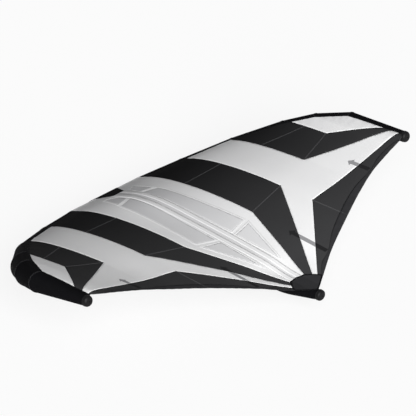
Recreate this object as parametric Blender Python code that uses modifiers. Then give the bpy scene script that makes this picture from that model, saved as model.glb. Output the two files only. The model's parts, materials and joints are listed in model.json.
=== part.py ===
"""Inflatable hand-held wing for wing foiling, with about four square metres of canopy.

Frame: +X to starboard, +Y forward to the leading edge, +Z up, in metres. The wing lies as it
does on a beach, on the middle of its leading edge tube and on its rear handle. The origin is on
the ground under the middle of the wing's box.
"""
import math

import bmesh
import bpy
from mathutils import Matrix, Vector
from mathutils.geometry import delaunay_2d_cdt

# Overall sizes
half_width = 1.407            # centre plane to the middle of the tip tube
root_length = 1.762           # tail to the middle line of the leading edge tube
tip_rise = 0.402              # tip tube's middle above the leading edge's lowest length
tail_height = 0.207           # tail of the canopy above the ground
trailing_rise = 0.325         # outer end of the trailing edge above the tail

# Cloth, film and clearances
canopy_thickness = 0.001
sleeve_thickness = 0.001
bladder_thickness = 0.0006
patch_thickness = 0.001
gap = 0.0003                  # between pieces that touch
patch_gap = 0.0012            # under a patch that lies on curved cloth
batten_gap = 0.0015           # between the canopy and a batten
mesh_step = 0.080             # spacing of points over the canopy
overrun = 0.01                # how far a cutter runs past what it cuts

# Leading edge tube: corners on one side as shares of half_width, root_length, tip_rise and
# le_radius. The panels between two corners are straight and tapered.
le_radius = 0.096
le_sides = 24
bladder_sides = 12            # half of the sleeve's, on every other corner
le_corner_shares = (
    (0.211, 1.000, 0.000, 0.990),
    (0.427, 0.957, 0.100, 1.000),
    (0.652, 0.880, 0.285, 1.000),
    (0.820, 0.763, 0.558, 0.958),
    (0.912, 0.677, 0.730, 0.844),
    (0.985, 0.569, 0.872, 0.667),
    (1.000, 0.324, 1.000, 0.344),
)
# Where the canopy leaves the tube at each corner: degrees forward of the tube's crest
canopy_seat_degrees = (22.5, 17, 7, -6, -14, -22, -36)
tip_cap_length = 0.022        # beyond the end of the tube
tip_cap_skirt = 0.010         # over the tube
tip_cap_wall = 0.0016

# Trailing edge on one side, as shares of half_width, root_length and trailing_rise
trailing_shares = (
    (0.000, 0.000, 0.000), (0.131, 0.065, 0.105), (0.216, 0.104, 0.204),
    (0.294, 0.135, 0.289), (0.392, 0.170, 0.397), (0.490, 0.205, 0.496),
    (0.589, 0.239, 0.586), (0.719, 0.274, 0.731), (0.850, 0.291, 0.890),
    (0.948, 0.303, 1.000), (0.986, 0.333, 0.980),
)
# Camber of the canopy: its depth as a share of the local chord along half_width, and its form
# from the leading edge (0) to the trailing edge (1), away from the strut and over it
camber_shares = ((0, 0.0622), (0.213, 0.0537), (0.428, 0.0484), (0.631, 0.0345),
                 (0.823, 0.011), (0.92, 0.006), (1, 0))
camber_form_shares = ((0, 0), (0.08, 0.47), (0.18, 0.80), (0.30, 0.97), (0.40, 1),
                      (0.55, 0.89), (0.75, 0.50), (1, 0))
strut_form_shares = ((0, 0), (0.08, 0.49), (0.16, 0.85), (0.26, 1), (0.43, 0.85),
                     (0.62, 0.62), (0.77, 0.40), (0.87, 0.115), (1, 0))

# Seams between the canopy's panels, as shares of half_width and root_length. Each runs straight
# back from the leading edge to its kink, then straight on to the tail or the tip.
seam_shares = (0.2135, 0.4277, 0.631, 0.8234)
kink_shares = ((0.2139, 0.4735), (0.4284, 0.4975), (0.6305, 0.5377), (0.8228, 0.5717))
trailing_kink_shares = (0.4317, 0.3487)
tip_seam_shares = (0.398, 0.364, 0.337)    # two dark band seams and the corner, in root_length
tail_reach = 0.148            # the panels end this far from the tail, under its patch
strip_half_width = 0.042      # of the strip that joins the canopy to the strut
strip_rows = 15

# Windows on one side, as shares of the way from the strip to the first seam and of root_length
window_shares = {
    "window_front": ((0.072, 0.884), (0.436, 0.874), (0.344, 0.957), (0.213, 0.954),
                     (0.072, 0.921)),
    "window_middle": ((0.034, 0.872), (0.110, 0.449), (0.654, 0.468), (0.480, 0.857)),
    "window_rear": ((0.088, 0.4265), (0.132, 0.2245), (0.638, 0.441)),
}

# Trailing edge band: its width as shares of band_width along half_width
band_width = 0.062
band_shares = ((0.09, 0.25), (0.15, 0.6), (0.216, 0.32), (0.33, 0.85), (0.47, 1),
               (0.60, 0.85), (0.719, 0.32), (0.80, 0.6), (0.88, 0.5), (0.93, 0.3))

# Battens under the trailing edge: place along half_width and length as a share of root_length
batten_shares = {"inner": (0.2165, 0.170), "outer": (0.7205, 0.118)}
batten_width = 0.010
batten_thickness = 0.0016
pocket_width = 0.029
arrow_width = 0.060
arrow_length = 0.036
pocket_thickness = 0.0008
batten_to_band = 0.010        # between a batten pocket and the trailing edge band

# Patches
nose_patch_half_width = 0.043
nose_patch_flare = 0.165      # half width where it wraps round the front of the tube
nose_patch_setback = 0.100    # behind the edge of the canopy
nose_patch_corners = 7        # corners of the tube that it wraps round
tail_patch_length = 0.190
tail_patch_half_width = 0.125
tail_patch_shoulder_shares = ((0.48, 0.94), (0.78, 0.70), (0.98, 0.50))

# Strut: radius as shares of strut_radius at places from the tail (0) to the front (1)
strut_radius = 0.0736
strut_sides = 16
strut_radius_shares = ((0, 0.45), (0.06, 0.62), (0.18, 0.92), (0.40, 1), (0.68, 1), (1, 0.94))
end_cap_length = 0.018        # beyond the end of the sleeve
end_cap_skirt = 0.010         # over the sleeve
end_cap_wall = 0.0016
end_cap_lead = 0.014          # straight end of the sleeve behind the canopy's tail
bladder_setback = 0.012       # between the strut's bladder and what closes its sleeve

# Handles: middle as a share of root_length and length of the grip, then what both share
handle_shares = {"front": 0.653, "rear": 0.377}
grip_lengths = {"front": 0.140, "rear": 0.160}
finger_gap = 0.072            # between a grip and its saddle
grip_radius = 0.0175
grip_sides = 16
bar_radius = 0.0115
bar_overhang = 0.030          # bar between the grip's end and the middle of its leg
bar_bend = 0.026
saddle_width = 0.062
saddle_overhang = 0.032       # beyond the middle of a leg
saddle_thickness = 0.005
saddle_rise = 0.014           # how far the saddle reaches up round the strut
saddle_corner = 0.012
foot_radius = 0.021
foot_neck_share = 1.02        # of bar_radius
foot_height = 0.012

# Nose handle, on the lower front of the leading edge
nose_handle_length = 0.240
nose_handle_reach = 0.046
nose_handle_radius = 0.0105
nose_handle_top_share = 0.72  # of its length, between its bends
nose_handle_degrees = -30     # round the tube from straight ahead

# Leash loop under the front of the strut
loop_setback = 0.262          # behind the middle of the leading edge
loop_width = 0.020
loop_hole = 0.016
loop_webbing = 0.0035

# Inflation valve on the rear of the leading edge
valve_place = 0.170           # to starboard of the middle
valve_bore = 0.0105
valve_barrel = 0.0145
valve_flange = 0.021
valve_flange_thickness = 0.0025
valve_rim = 0.008             # rim above the sleeve
valve_depth = 0.016
valve_seat = 0.0075
valve_seat_thickness = 0.002
valve_turns = 20
bridge_width = 0.0045
bridge_thickness = 0.002
bridge_level = -0.0105
pin_radius = 0.0015
pin_button = 0.0035
pin_button_top = -0.002
pin_disc = 0.0092
pin_disc_thickness = 0.0015
port_clearance = 0.0005
cap_radius = 0.0155
cap_thickness = 0.0022
cap_plug = 0.0101
cap_plug_wall = 0.0016
cap_plug_depth = 0.003
hinge_offset = 0.0190         # valve's middle to the cap's hinge
hinge_level = 0.0096
hinge_pin = 0.0009
knuckle_radius = 0.0021
knuckle_half_length = 0.0036
cap_arm_share = 0.6           # of knuckle_radius, above the hinge
ear_thickness = 0.0024

# Air hose from the leading edge to the strut, on the port side
hose_radius = 0.006
hose_place = -0.125
hose_setback = 0.292          # behind the middle of the leading edge
hose_degrees = 150            # round the leading edge from straight ahead
hose_reach = 0.055
hose_points = 14
fitting_flange = 0.0105
fitting_flange_thickness = 0.002
fitting_collar = 0.0092
fitting_height = 0.009
fitting_bore = 0.004
fitting_sides = 16

# Service zip of the leading edge, with its slider
zip_share = 0.91              # of the middle panel's length
zip_degrees = -150
zip_tape_width = 0.022
zip_tape_thickness = 0.001
zip_coil_width = 0.0048
zip_coil_height = 0.0022
zip_crown_share = 0.8         # of the coil's width, flat on top
slider_length = 0.014
slider_width = 0.0095
slider_roof = 0.0018
slider_clearance = 0.0004
slider_end_margin = 0.012
tab_length = 0.024
tab_width = 0.007
tab_thickness = 0.0014

BLACK_DACRON = ("black_dacron", (0.012, 0.012, 0.014), 0.62, 0)
DARK_RIPSTOP = ("dark_ripstop", (0.020, 0.020, 0.022), 0.55, 0)
PALE_RIPSTOP = ("pale_ripstop", (0.78, 0.78, 0.79), 0.50, 0)
WINDOW_FILM = ("window_film", (0.58, 0.59, 0.60), 0.22, 0)
BATTEN_GLASS = ("batten_fibreglass", (0.20, 0.20, 0.19), 0.40, 0)
BLADDER_FILM = ("bladder_film", (0.70, 0.72, 0.70), 0.30, 0)
MOULDED_NYLON = ("moulded_nylon", (0.015, 0.015, 0.016), 0.42, 0)
EVA_FOAM = ("eva_foam", (0.025, 0.025, 0.027), 0.85, 0)
WEBBING = ("webbing", (0.018, 0.018, 0.020), 0.75, 0)
HANDLE_TUBE = ("handle_tube", (0.05, 0.05, 0.055), 0.35, 0)
HOSE_RUBBER = ("hose_rubber", (0.03, 0.03, 0.03), 0.55, 0)
SEAM_TAPE = ("seam_tape", (0.50, 0.50, 0.51), 0.55, 0)


def make_collection(name):
    collection = bpy.data.collections.new(name)
    bpy.context.scene.collection.children.link(collection)
    return collection


def make_material(name, finish):
    _, colour, roughness, metallic = finish
    material = bpy.data.materials.new(name)
    material.use_nodes = True
    shader = material.node_tree.nodes["Principled BSDF"]
    shader.inputs["Base Color"].default_value = (*colour, 1)
    shader.inputs["Roughness"].default_value = roughness
    shader.inputs["Metallic"].default_value = metallic
    return material


def add_part(name, data, finish):
    """A sub-part in the wing's collection, carried by the wing's frame"""
    part = bpy.data.objects.new(name, data)
    data.materials.append(make_material(f"{name}_{finish[0]}", finish))
    wing.objects.link(part)
    part.parent = airframe
    return part


def add_cutter(name, mesh):
    cutter = bpy.data.objects.new(name, mesh)
    cutters.objects.link(cutter)
    cutter.parent = airframe
    cutter.hide_render = True
    cutter.display_type = "WIRE"
    return cutter


def boolean(part, tool, operation="DIFFERENCE"):
    modifier = part.modifiers.new(f"{operation.lower()}_{tool.name}", "BOOLEAN")
    modifier.operation = operation
    modifier.object = tool
    return modifier


def solidify(part, thickness):
    """Give a surface its thickness, inwards from the drawn side"""
    modifier = part.modifiers.new("thickness", "SOLIDIFY")
    modifier.thickness = thickness
    modifier.offset = -1


def smooth(mesh, degrees=35):
    mesh.shade_smooth()
    mesh.set_sharp_from_angle(angle=math.radians(degrees))


def finish_mesh(name, bm):
    mesh = bpy.data.meshes.new(name)
    bmesh.ops.recalc_face_normals(bm, faces=bm.faces)
    bm.to_mesh(mesh)
    bm.free()
    smooth(mesh)
    return mesh


def loft_mesh(name, rings, closed=False):
    """Skin rings of equal count. A closed loft runs back to its first ring, as a pipe wall does"""
    bm = bmesh.new()
    loops = [[bm.verts.new(point) for point in ring] for ring in rings]
    pairs = list(zip(loops, loops[1:]))
    if closed:
        pairs.append((loops[-1], loops[0]))
    for near, far in pairs:
        for i in range(len(near)):
            j = (i + 1) % len(near)
            bm.faces.new((near[i], near[j], far[j], far[i]))
    if not closed:
        bm.faces.new(loops[0])
        bm.faces.new(loops[-1])
    return finish_mesh(name, bm)


def grid_mesh(name, rows):
    """An open surface through rows of equal count, drawn side up or outwards"""
    bm = bmesh.new()
    lines = [[bm.verts.new(point) for point in row] for row in rows]
    for near, far in zip(lines, lines[1:]):
        for i in range(len(near) - 1):
            bm.faces.new((near[i], near[i + 1], far[i + 1], far[i]))
    mesh = bpy.data.meshes.new(name)
    bm.to_mesh(mesh)
    bm.free()
    smooth(mesh)
    return mesh


def cylinder_mesh(name, radius, low, high, sides=24):
    bm = bmesh.new()
    bmesh.ops.create_cone(bm, cap_ends=True, segments=sides, radius1=radius, radius2=radius,
                          depth=high - low)
    bmesh.ops.translate(bm, verts=bm.verts, vec=(0, 0, (low + high) / 2))
    return finish_mesh(name, bm)


def box_mesh(name, low, high):
    bm = bmesh.new()
    bmesh.ops.create_cube(bm, size=1)
    for vert in bm.verts:
        vert.co = [a + (c + 0.5) * (b - a) for a, b, c in zip(low, high, vert.co)]
    mesh = bpy.data.meshes.new(name)
    bm.to_mesh(mesh)
    bm.free()
    return mesh


def turned_mesh(name, profile, sides):
    """A turned piece: its closed profile of radius and height, spun about +Z"""
    rings = []
    turns = [math.tau * (i + 0.5) / sides for i in range(sides)]
    for radius, level in profile:
        rings.append([(radius * math.cos(turn), radius * math.sin(turn), level)
                      for turn in turns])
    return loft_mesh(name, rings, closed=True)


def along(rows, place, column=1):
    """Value of a table's column at a place, on straight lines between its rows"""
    for low, high in zip(rows, rows[1:]):
        if place <= high[0]:
            break
    share = (place - low[0]) / (high[0] - low[0])
    return low[column] + share * (high[column] - low[column])


def smooth_along(rows, place, column=1):
    """The same on a smooth curve through the rows, which keeps the slopes of its neighbours"""
    last = len(rows) - 1
    index = 0
    while index < last - 1 and place > rows[index + 1][0]:
        index += 1

    def slope(i):
        low, high = rows[max(i - 1, 0)], rows[min(i + 1, last)]
        return (high[column] - low[column]) / (high[0] - low[0])

    low, high = rows[index], rows[index + 1]
    width = high[0] - low[0]
    t = (place - low[0]) / width
    if t > 1:
        return high[column]
    return ((2 * t ** 3 - 3 * t ** 2 + 1) * low[column] + (t ** 3 - 2 * t ** 2 + t) * width
            * slope(index) + (3 * t ** 2 - 2 * t ** 3) * high[column]
            + (t ** 3 - t ** 2) * width * slope(index + 1))


def le_axis():
    """Corners of the tube's middle line on the starboard side, with the radius at each"""
    base = le_radius * le_corner_shares[0][3]
    return [(Vector((half_width * x, root_length * y, base + tip_rise * z)), le_radius * r)
            for x, y, z, r in le_corner_shares]


def le_directions():
    """Direction of the panel inboard of each corner, and of the one outboard of it"""
    points = [corner for corner, _ in le_axis()]
    inboard = [Vector((1, 0, 0))]
    inboard += [(b - a).normalized() for a, b in zip(points, points[1:])]
    outboard = inboard[1:] + [inboard[-1]]
    return list(zip(inboard, outboard))


def cross_frame(direction):
    """Directions across a tube: level and away from the canopy, and up"""
    outward = Vector((0, 0, 1)).cross(direction).normalized()
    return outward, direction.cross(outward)


def le_frames():
    """Directions across the panel inboard of each corner, carried outboard without a twist"""
    frames = [cross_frame(le_directions()[0][0])]
    for inboard, outboard in le_directions()[:-1]:
        turn = inboard.rotation_difference(outboard)
        frames.append([turn @ across for across in frames[-1]])
    return frames


def le_ring(index, extra=0, shift=0):
    """Ring of the tube at a corner, in the mitre plane between its two panels.

    extra is added to the radius, and shift moves the ring outboard along the inboard panel.
    """
    centre, radius = le_axis()[index]
    inboard, outboard = le_directions()[index]
    outward, upward = le_frames()[index]
    mitre = (inboard + outboard).normalized()
    corner_radius = (radius + extra) / math.cos(math.pi / le_sides)
    ring = []
    for i in range(le_sides):
        angle = math.tau * (i + 0.5) / le_sides
        offset = corner_radius * (math.cos(angle) * outward + math.sin(angle) * upward)
        offset -= inboard * (offset.dot(mitre) / inboard.dot(mitre))
        ring.append(centre + offset + inboard * shift)
    return ring


def mirrored(points, side):
    return [Vector((side * p[0], p[1], p[2])) for p in points]


def canopy_edge():
    """Where the canopy leaves the leading edge tube, at each corner on the starboard side"""
    stand_off = gap * 2 + canopy_thickness
    points = []
    for (centre, radius), (inboard, outboard), degrees in zip(
            le_axis(), le_directions(), canopy_seat_degrees):
        outward, upward = cross_frame((inboard + outboard).normalized())
        reach = radius / math.cos(math.pi / le_sides) + stand_off
        angle = math.radians(degrees)
        points.append(centre + reach * (math.sin(angle) * outward + math.cos(angle) * upward))
    points.insert(0, Vector((0, points[0].y, points[0].z)))
    return points


def front_at(x):
    """Front of the canopy at a distance from the centre plane: its place and height"""
    rows = [tuple(point) for point in canopy_edge_points]
    return along(rows, abs(x)), along(rows, abs(x), 2)


def back_at(x):
    """Trailing edge at a distance from the centre plane: its place and height"""
    share = abs(x) / half_width
    place = root_length * smooth_along(trailing_shares, share)
    return place, tail_height + trailing_rise * smooth_along(trailing_shares, share, 2)


def height(x, y):
    """Top of the canopy above the ground. It lies flat across the strip over the strut"""
    x = max(abs(x), strip_half_width)
    front, front_height = front_at(x)
    back, back_height = back_at(x)
    chord = max(front - back, mesh_step)
    run = (front - y) / chord
    inside = min(max(run, 0), 1)
    form = smooth_along(camber_form_shares, inside)
    share = x / half_width
    beside = x - strip_half_width
    clear = half_width * seam_shares[0] - strip_half_width
    if beside < clear:
        over_strut = 1 - beside / clear
        form += over_strut * (smooth_along(strut_form_shares, inside) - form)
    depth = chord * smooth_along(camber_shares, share)
    return front_height + (back_height - front_height) * run + depth * form


def divided(points, step):
    """A closed outline with its edges divided evenly"""
    result = []
    for start, end in zip(points, points[1:] + points[:1]):
        count = max(1, math.ceil((end - start).length / step))
        result += [start.lerp(end, i / count) for i in range(count)]
    return result


def inset(points, distance):
    """Move each point of an anticlockwise outline inwards"""
    result = []
    for before, point, after in zip(points[-1:] + points[:-1], points, points[1:] + points[:1]):
        first = (point - before).normalized()
        second = (after - point).normalized()
        normal_1 = Vector((-first.y, first.x))
        normal_2 = Vector((-second.y, second.x))
        middle = (normal_1 + normal_2).normalized()
        result.append(point + middle * (distance / max(middle.dot(normal_1), 0.05)))
    return result


def winding(points):
    return sum(a.x * b.y - b.x * a.y for a, b in zip(points, points[1:] + points[:1]))


def anticlockwise(points):
    points = [Vector(point) for point in points]
    return points if winding(points) > 0 else points[::-1]


def contains(outline, point):
    """Whether a point lies inside an outline"""
    inside = False
    for a, b in zip(outline, outline[1:] + outline[:1]):
        if (a.y > point.y) != (b.y > point.y):
            crossing = a.x + (point.y - a.y) / (b.y - a.y) * (b.x - a.x)
            if point.x < crossing:
                inside = not inside
    return inside


def distance_to(outline, point):
    """Least distance from a point to an outline"""
    best = math.inf
    for a, b in zip(outline, outline[1:] + outline[:1]):
        edge = b - a
        t = min(max((point - a).dot(edge) / edge.length_squared, 0), 1)
        best = min(best, (point - a - edge * t).length)
    return best


def sheet(name, outline, finish, side=1, holes=(), lift=0, thickness=canopy_thickness):
    """Cut a piece of cloth to an outline seen from above and lay it on the canopy's surface.

    The outline is on the starboard side, and side -1 makes the port piece. lift raises the
    piece's top from the canopy's top. Every edge stands half a gap back from its seam.
    """
    flip = Matrix.Diagonal((side, 1))
    border = anticlockwise([flip @ Vector(point) for point in outline])
    border = inset(divided(border, mesh_step), gap / 2)
    inner = [inset(divided(anticlockwise([flip @ Vector(p) for p in hole]), mesh_step), -gap / 2)
             for hole in holes]
    points, edges = [], []
    for loop in [border, *inner]:
        start = len(points)
        points += loop
        edges += [(start + i, start + (i + 1) % len(loop)) for i in range(len(loop))]
    xs = [p.x for p in border]
    ys = [p.y for p in border]
    for i in range(math.floor(min(xs) / mesh_step), math.ceil(max(xs) / mesh_step)):
        for j in range(math.floor(min(ys) / mesh_step), math.ceil(max(ys) / mesh_step)):
            point = Vector(((i + 0.5) * mesh_step, (j + 0.5) * mesh_step))
            if not contains(border, point) or any(contains(hole, point) for hole in inner):
                continue
            if min(distance_to(loop, point) for loop in [border, *inner]) > mesh_step / 3:
                points.append(point)
    flat, _, faces, _, _, _ = delaunay_2d_cdt(points, edges, [], 1, gap / 10)
    bm = bmesh.new()
    verts = [bm.verts.new((p.x, p.y, height(p.x, p.y) + lift)) for p in flat]
    for face in faces:
        middle = sum((flat[i] for i in face), Vector((0, 0))) / len(face)
        if not any(contains(hole, middle) for hole in inner):
            bm.faces.new([verts[i] for i in face])
    bmesh.ops.delete(bm, geom=[v for v in bm.verts if not v.link_faces], context="VERTS")
    thicken_down(bm, thickness)
    return add_part(name, finish_mesh(name, bm), finish)


def thicken_down(bm, thickness):
    """Extrude cloth straight down, so that neighbours keep the gap between their edges"""
    lower = bmesh.ops.extrude_face_region(bm, geom=list(bm.faces), use_keep_orig=True)
    moved = [item for item in lower["geom"] if isinstance(item, bmesh.types.BMVert)]
    bmesh.ops.translate(bm, verts=moved, vec=(0, 0, -thickness))


def spot(x_share, y_share):
    """A place on the canopy from shares of half_width and root_length"""
    return Vector((half_width * x_share, root_length * y_share))


def seam_front(index):
    x = half_width * seam_shares[index]
    return Vector((x, front_at(x)[0]))


def near_tail(kink):
    """Where a seam ends under the tail patch, on its way from a kink to the tail"""
    return kink.normalized() * tail_reach


def edge_between(start, end):
    """Corners of the canopy's front edge between two distances from the centre plane"""
    return [Vector(p[:2]) for p in canopy_edge_points if start < p.x < end]


def tip_point(index):
    """A seam's end on the canopy's edge along the tip tube"""
    y = root_length * tip_seam_shares[index]
    rows = [(-p.y, p.x) for p in canopy_edge_points[-2:]]
    return Vector((along(rows, -y), y))


def trailing_line(start, end):
    """Points of the trailing edge between two places along half_width"""
    count = math.ceil((end - start) / mesh_step)
    stops = [start + (end - start) * i / count for i in range(count + 1)]
    return [Vector((x, back_at(x)[0])) for x in stops]


def trailing_start():
    """Where the trailing edge passes out from under the tail patch"""
    return tail_reach * math.cos(math.atan2(*reversed(spot(*trailing_shares[1][:2]))))


def make_canopy(side, hand):
    kink_a, kink_b, kink_c, kink_d = (spot(*kink) for kink in kink_shares)
    kink_e = spot(*trailing_kink_shares)
    front_a, front_b, front_c, front_d = (seam_front(i) for i in range(4))
    tip_d, tip_c, tip_e = (tip_point(i) for i in range(3))
    tail_a, tail_b, tail_e = (near_tail(kink) for kink in (kink_a, kink_b, kink_e))
    strip = strip_half_width
    strip_side = [Vector((strip, y)) for y in strip_places()]
    width = front_a.x - strip
    windows = {name: [Vector((strip + width * x, root_length * y)) for x, y in corners]
               for name, corners in window_shares.items()}

    sheet(f"canopy_centre_{hand}", strip_side[::-1] + [tail_a, kink_a, front_a],
          PALE_RIPSTOP, side, holes=list(windows.values()))
    sheet(f"canopy_inner_band_{hand}",
          [front_a, kink_a, tail_a, tail_b, kink_b, front_b], DARK_RIPSTOP, side)
    sheet(f"canopy_main_{hand}",
          [front_b, kink_b, tail_b, tail_e, kink_e, tip_e, tip_c, kink_c, front_c],
          PALE_RIPSTOP, side)
    sheet(f"canopy_outer_band_{hand}",
          [front_c, kink_c, tip_c, tip_d, kink_d, front_d]
          + edge_between(front_c.x, front_d.x)[::-1], DARK_RIPSTOP, side)
    sheet(f"canopy_tip_{hand}",
          [front_d, kink_d, tip_d] + edge_between(front_d.x, tip_d.x)[::-1], PALE_RIPSTOP, side)
    sheet(f"canopy_trailing_{hand}",
          [tip_e, kink_e, tail_e] + trailing_line(trailing_start(), tip_e.x - mesh_step / 4),
          DARK_RIPSTOP, side)
    for name, corners in windows.items():
        sheet(f"{name}_{hand}", corners, WINDOW_FILM, side)


def band_at(x):
    return band_width * along(band_shares, x / half_width)


def make_trailing_band(side, hand):
    """Folded tape under the trailing edge, with a hollow inner edge between the battens"""
    start, end = (half_width * row[0] for row in (band_shares[0], band_shares[-1]))
    outer = trailing_line(start, end)
    inner = [Vector((p.x, p.y + band_at(p.x))) for p in outer]
    sheet(f"trailing_band_{hand}", outer + inner[::-1], BLACK_DACRON, side,
          lift=-canopy_thickness - patch_gap, thickness=patch_thickness)


def make_battens(side, hand):
    """Stiff battens in arrow-headed pockets, sewn under the canopy ahead of its band"""
    for place, (x_share, length_share) in batten_shares.items():
        x = half_width * x_share
        rear = back_at(x)[0] + band_at(x) + batten_to_band
        tip = back_at(x)[0] + root_length * length_share
        under = -canopy_thickness - batten_gap
        half = batten_width / 2
        sheet(f"batten_{place}_{hand}",
              [(x - half, rear + arrow_length / 2), (x + half, rear + arrow_length / 2),
               (x + half, tip - arrow_length), (x - half, tip - arrow_length)],
              BATTEN_GLASS, side, lift=under, thickness=batten_thickness)
        wide = pocket_width / 2
        head = arrow_width / 2
        neck = tip - arrow_length
        sheet(f"batten_pocket_{place}_{hand}",
              [(x - wide, rear), (x + wide, rear), (x + wide, neck), (x + head, neck), (x, tip),
               (x - head, neck), (x - wide, neck)],
              BLACK_DACRON, side, lift=under - batten_thickness - patch_gap,
              thickness=pocket_thickness)


def strip_places():
    """Places of the strip's rows, from the tail patch to the nose. The strut shares them"""
    run = front_at(0)[0] - tail_reach
    return [tail_reach + run * i / strip_rows for i in range(strip_rows + 1)]


def make_strip():
    """Strip of cloth over the strut, which joins the two halves of the canopy"""
    half = strip_half_width - gap / 2
    bm = bmesh.new()
    lines = [[bm.verts.new((x, y, height(x, y))) for x in (-half, 0, half)]
             for y in strip_places()]
    for near, far in zip(lines, lines[1:]):
        for i in range(2):
            bm.faces.new((near[i], near[i + 1], far[i + 1], far[i]))
    thicken_down(bm, canopy_thickness)
    add_part("strut_strip", finish_mesh("strut_strip", bm), SEAM_TAPE)


def make_nose_patch():
    """Wear patch on the nose: on the canopy's middle, then round the front of the tube"""
    front, front_height = front_at(0)
    centre, radius = le_axis()[0]
    over_cloth = patch_gap + patch_thickness
    lines = []
    for share in (1, 0.5, 0):
        y = front - nose_patch_setback * share
        lines.append((y, height(0, y) + over_cloth))
    on_tube = (radius + gap + patch_thickness) / math.cos(math.pi / le_sides)
    first = math.floor((90 - canopy_seat_degrees[0]) / (360 / le_sides))
    for i in range(nose_patch_corners):
        angle = math.tau * (first - 1 - i + 0.5) / le_sides
        lines.append((centre.y + on_tube * math.cos(angle),
                      centre.z + on_tube * math.sin(angle)))
    rows = []
    widest = len(lines) - 1
    for i, (y, z) in enumerate(lines):
        flare = nose_patch_flare - nose_patch_half_width
        half = nose_patch_half_width + flare * min(1, max(0, i - 1) / (widest / 2))
        rows.append([(half * share, y, z) for share in (-1, -0.5, 0, 0.5, 1)])
    part = add_part("nose_patch", grid_mesh("nose_patch", rows), BLACK_DACRON)
    solidify(part, patch_thickness)


def make_tail_patch():
    """Patch over the tail, where every seam of the canopy comes together"""
    half = [(tail_patch_half_width * x, tail_patch_length * y)
            for x, y in tail_patch_shoulder_shares]
    outer = half[-1][0]
    back = [(x, back_at(x)[0]) for x in (outer, outer / 2)]
    right = half + back
    outline = [(0, tail_patch_length), *right, (0, 0)]
    outline += [(-x, y) for x, y in right[::-1]]
    sheet("tail_patch", outline[::-1], BLACK_DACRON, lift=patch_gap + patch_thickness,
          thickness=patch_thickness)


def strut_places():
    """Rows of the strut, from behind the tail to where it meets the leading edge"""
    return [-end_cap_lead, 0, *strip_places()[:-1]]


def strut_rows():
    """Place, radius and height of the middle at each row of the strut, tucked under the strip"""
    rows = []
    for y in strut_places():
        share = max(y, 0) / strut_places()[-1]
        radius = strut_radius * smooth_along(strut_radius_shares, share)
        top = height(0, max(y, 0)) - canopy_thickness - gap
        rows.append((y, radius, top - radius))
    return rows


def strut_section(y):
    """Radius of the strut and height of its middle"""
    return along(strut_table, y), along(strut_table, y, 2)


def strut_ring(y, extra=0):
    radius, level = strut_section(y)
    corner_radius = (radius + extra) / math.cos(math.pi / strut_sides)
    ring = []
    for i in range(strut_sides):
        angle = math.tau * (i + 0.5) / strut_sides
        ring.append((corner_radius * math.cos(angle), y, level + corner_radius
                     * math.sin(angle)))
    return ring


def make_leading_edge(side, hand):
    """The sleeve's inner, middle and outer lengths, each of two straight panels, and its cap"""
    for first, length in ((0, "inner"), (2, "middle"), (4, "outer")):
        outer, inner = [], []
        for index in range(first, first + 3):
            shift = gap / 2 if index == first else -gap / 2 if index == first + 2 else 0
            outer.append(mirrored(le_ring(index, 0, shift), side))
            inner.append(mirrored(le_ring(index, -sleeve_thickness, shift), side))
        name = f"le_sleeve_{length}_{hand}"
        add_part(name, loft_mesh(name, outer + inner[::-1], closed=True), BLACK_DACRON)
    centre, radius = le_axis()[-1]
    direction = le_directions()[-1][0]
    taper = (le_axis()[-2][1] - radius) / (le_axis()[-2][0] - centre).length
    inside = (radius + taper * tip_cap_skirt + gap) / math.cos(math.pi / le_sides)
    frame = Matrix((*le_frames()[-1], direction)).transposed().to_4x4()
    frame.translation = centre
    mesh = turned_mesh(f"le_tip_cap_{hand}", cap_profile(
        inside, tip_cap_wall, tip_cap_length, tip_cap_skirt), le_sides)
    mesh.transform(frame)
    if side < 0:
        mesh.transform(Matrix.Diagonal((-1, 1, 1, 1)))
        mesh.flip_normals()
    add_part(f"le_tip_cap_{hand}", mesh, MOULDED_NYLON)


def cap_profile(inner, wall, length, skirt):
    """Closed profile of a domed cap slid over a tube that ends at height zero.

    The crown keeps a small eye in its middle, where the lacing of the bladder's end comes out.
    """
    outer = inner + wall
    bend = length - wall
    turns = (0, math.pi / 4, math.pi / 2)
    outside = [(outer - bend * (1 - math.cos(a)), bend * math.sin(a) + wall) for a in turns]
    inside = [(inner - bend * (1 - math.cos(a)), bend * math.sin(a)) for a in turns[::-1]]
    return [(inner, -skirt), (outer, -skirt), *outside, (2 * wall, length), (2 * wall, bend),
            *inside]


def make_le_centre():
    """The sleeve's middle panel, and the one bladder that fills the whole tube"""
    rings = [mirrored(le_ring(0, extra, -gap / 2), side)
             for extra, side in ((0, -1), (0, 1), (-sleeve_thickness, 1), (-sleeve_thickness, -1))]
    sleeve = add_part("le_sleeve_centre", loft_mesh("le_sleeve_centre", rings, closed=True),
                      BLACK_DACRON)
    boolean(sleeve, valve_port)
    boolean(sleeve, hose_port)
    outer = tube_rings(-sleeve_thickness - gap, -gap)
    inner = tube_rings(-sleeve_thickness - gap - bladder_thickness, -gap - bladder_thickness)
    bladder = add_part("le_bladder", loft_mesh("le_bladder", outer), BLADDER_FILM)
    boolean(bladder, add_cutter("le_bladder_hollow", loft_mesh("hollow", inner)))
    boolean(bladder, valve_port)
    boolean(bladder, hose_port)


def tube_rings(extra, end_shift):
    """Rings of the whole tube from tip to tip"""
    last = len(le_corner_shares) - 1
    every = le_sides // bladder_sides
    half = [le_ring(i, extra, end_shift if i == last else 0)[::every] for i in range(last + 1)]
    return [mirrored(ring, -1) for ring in half[::-1]] + half


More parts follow.
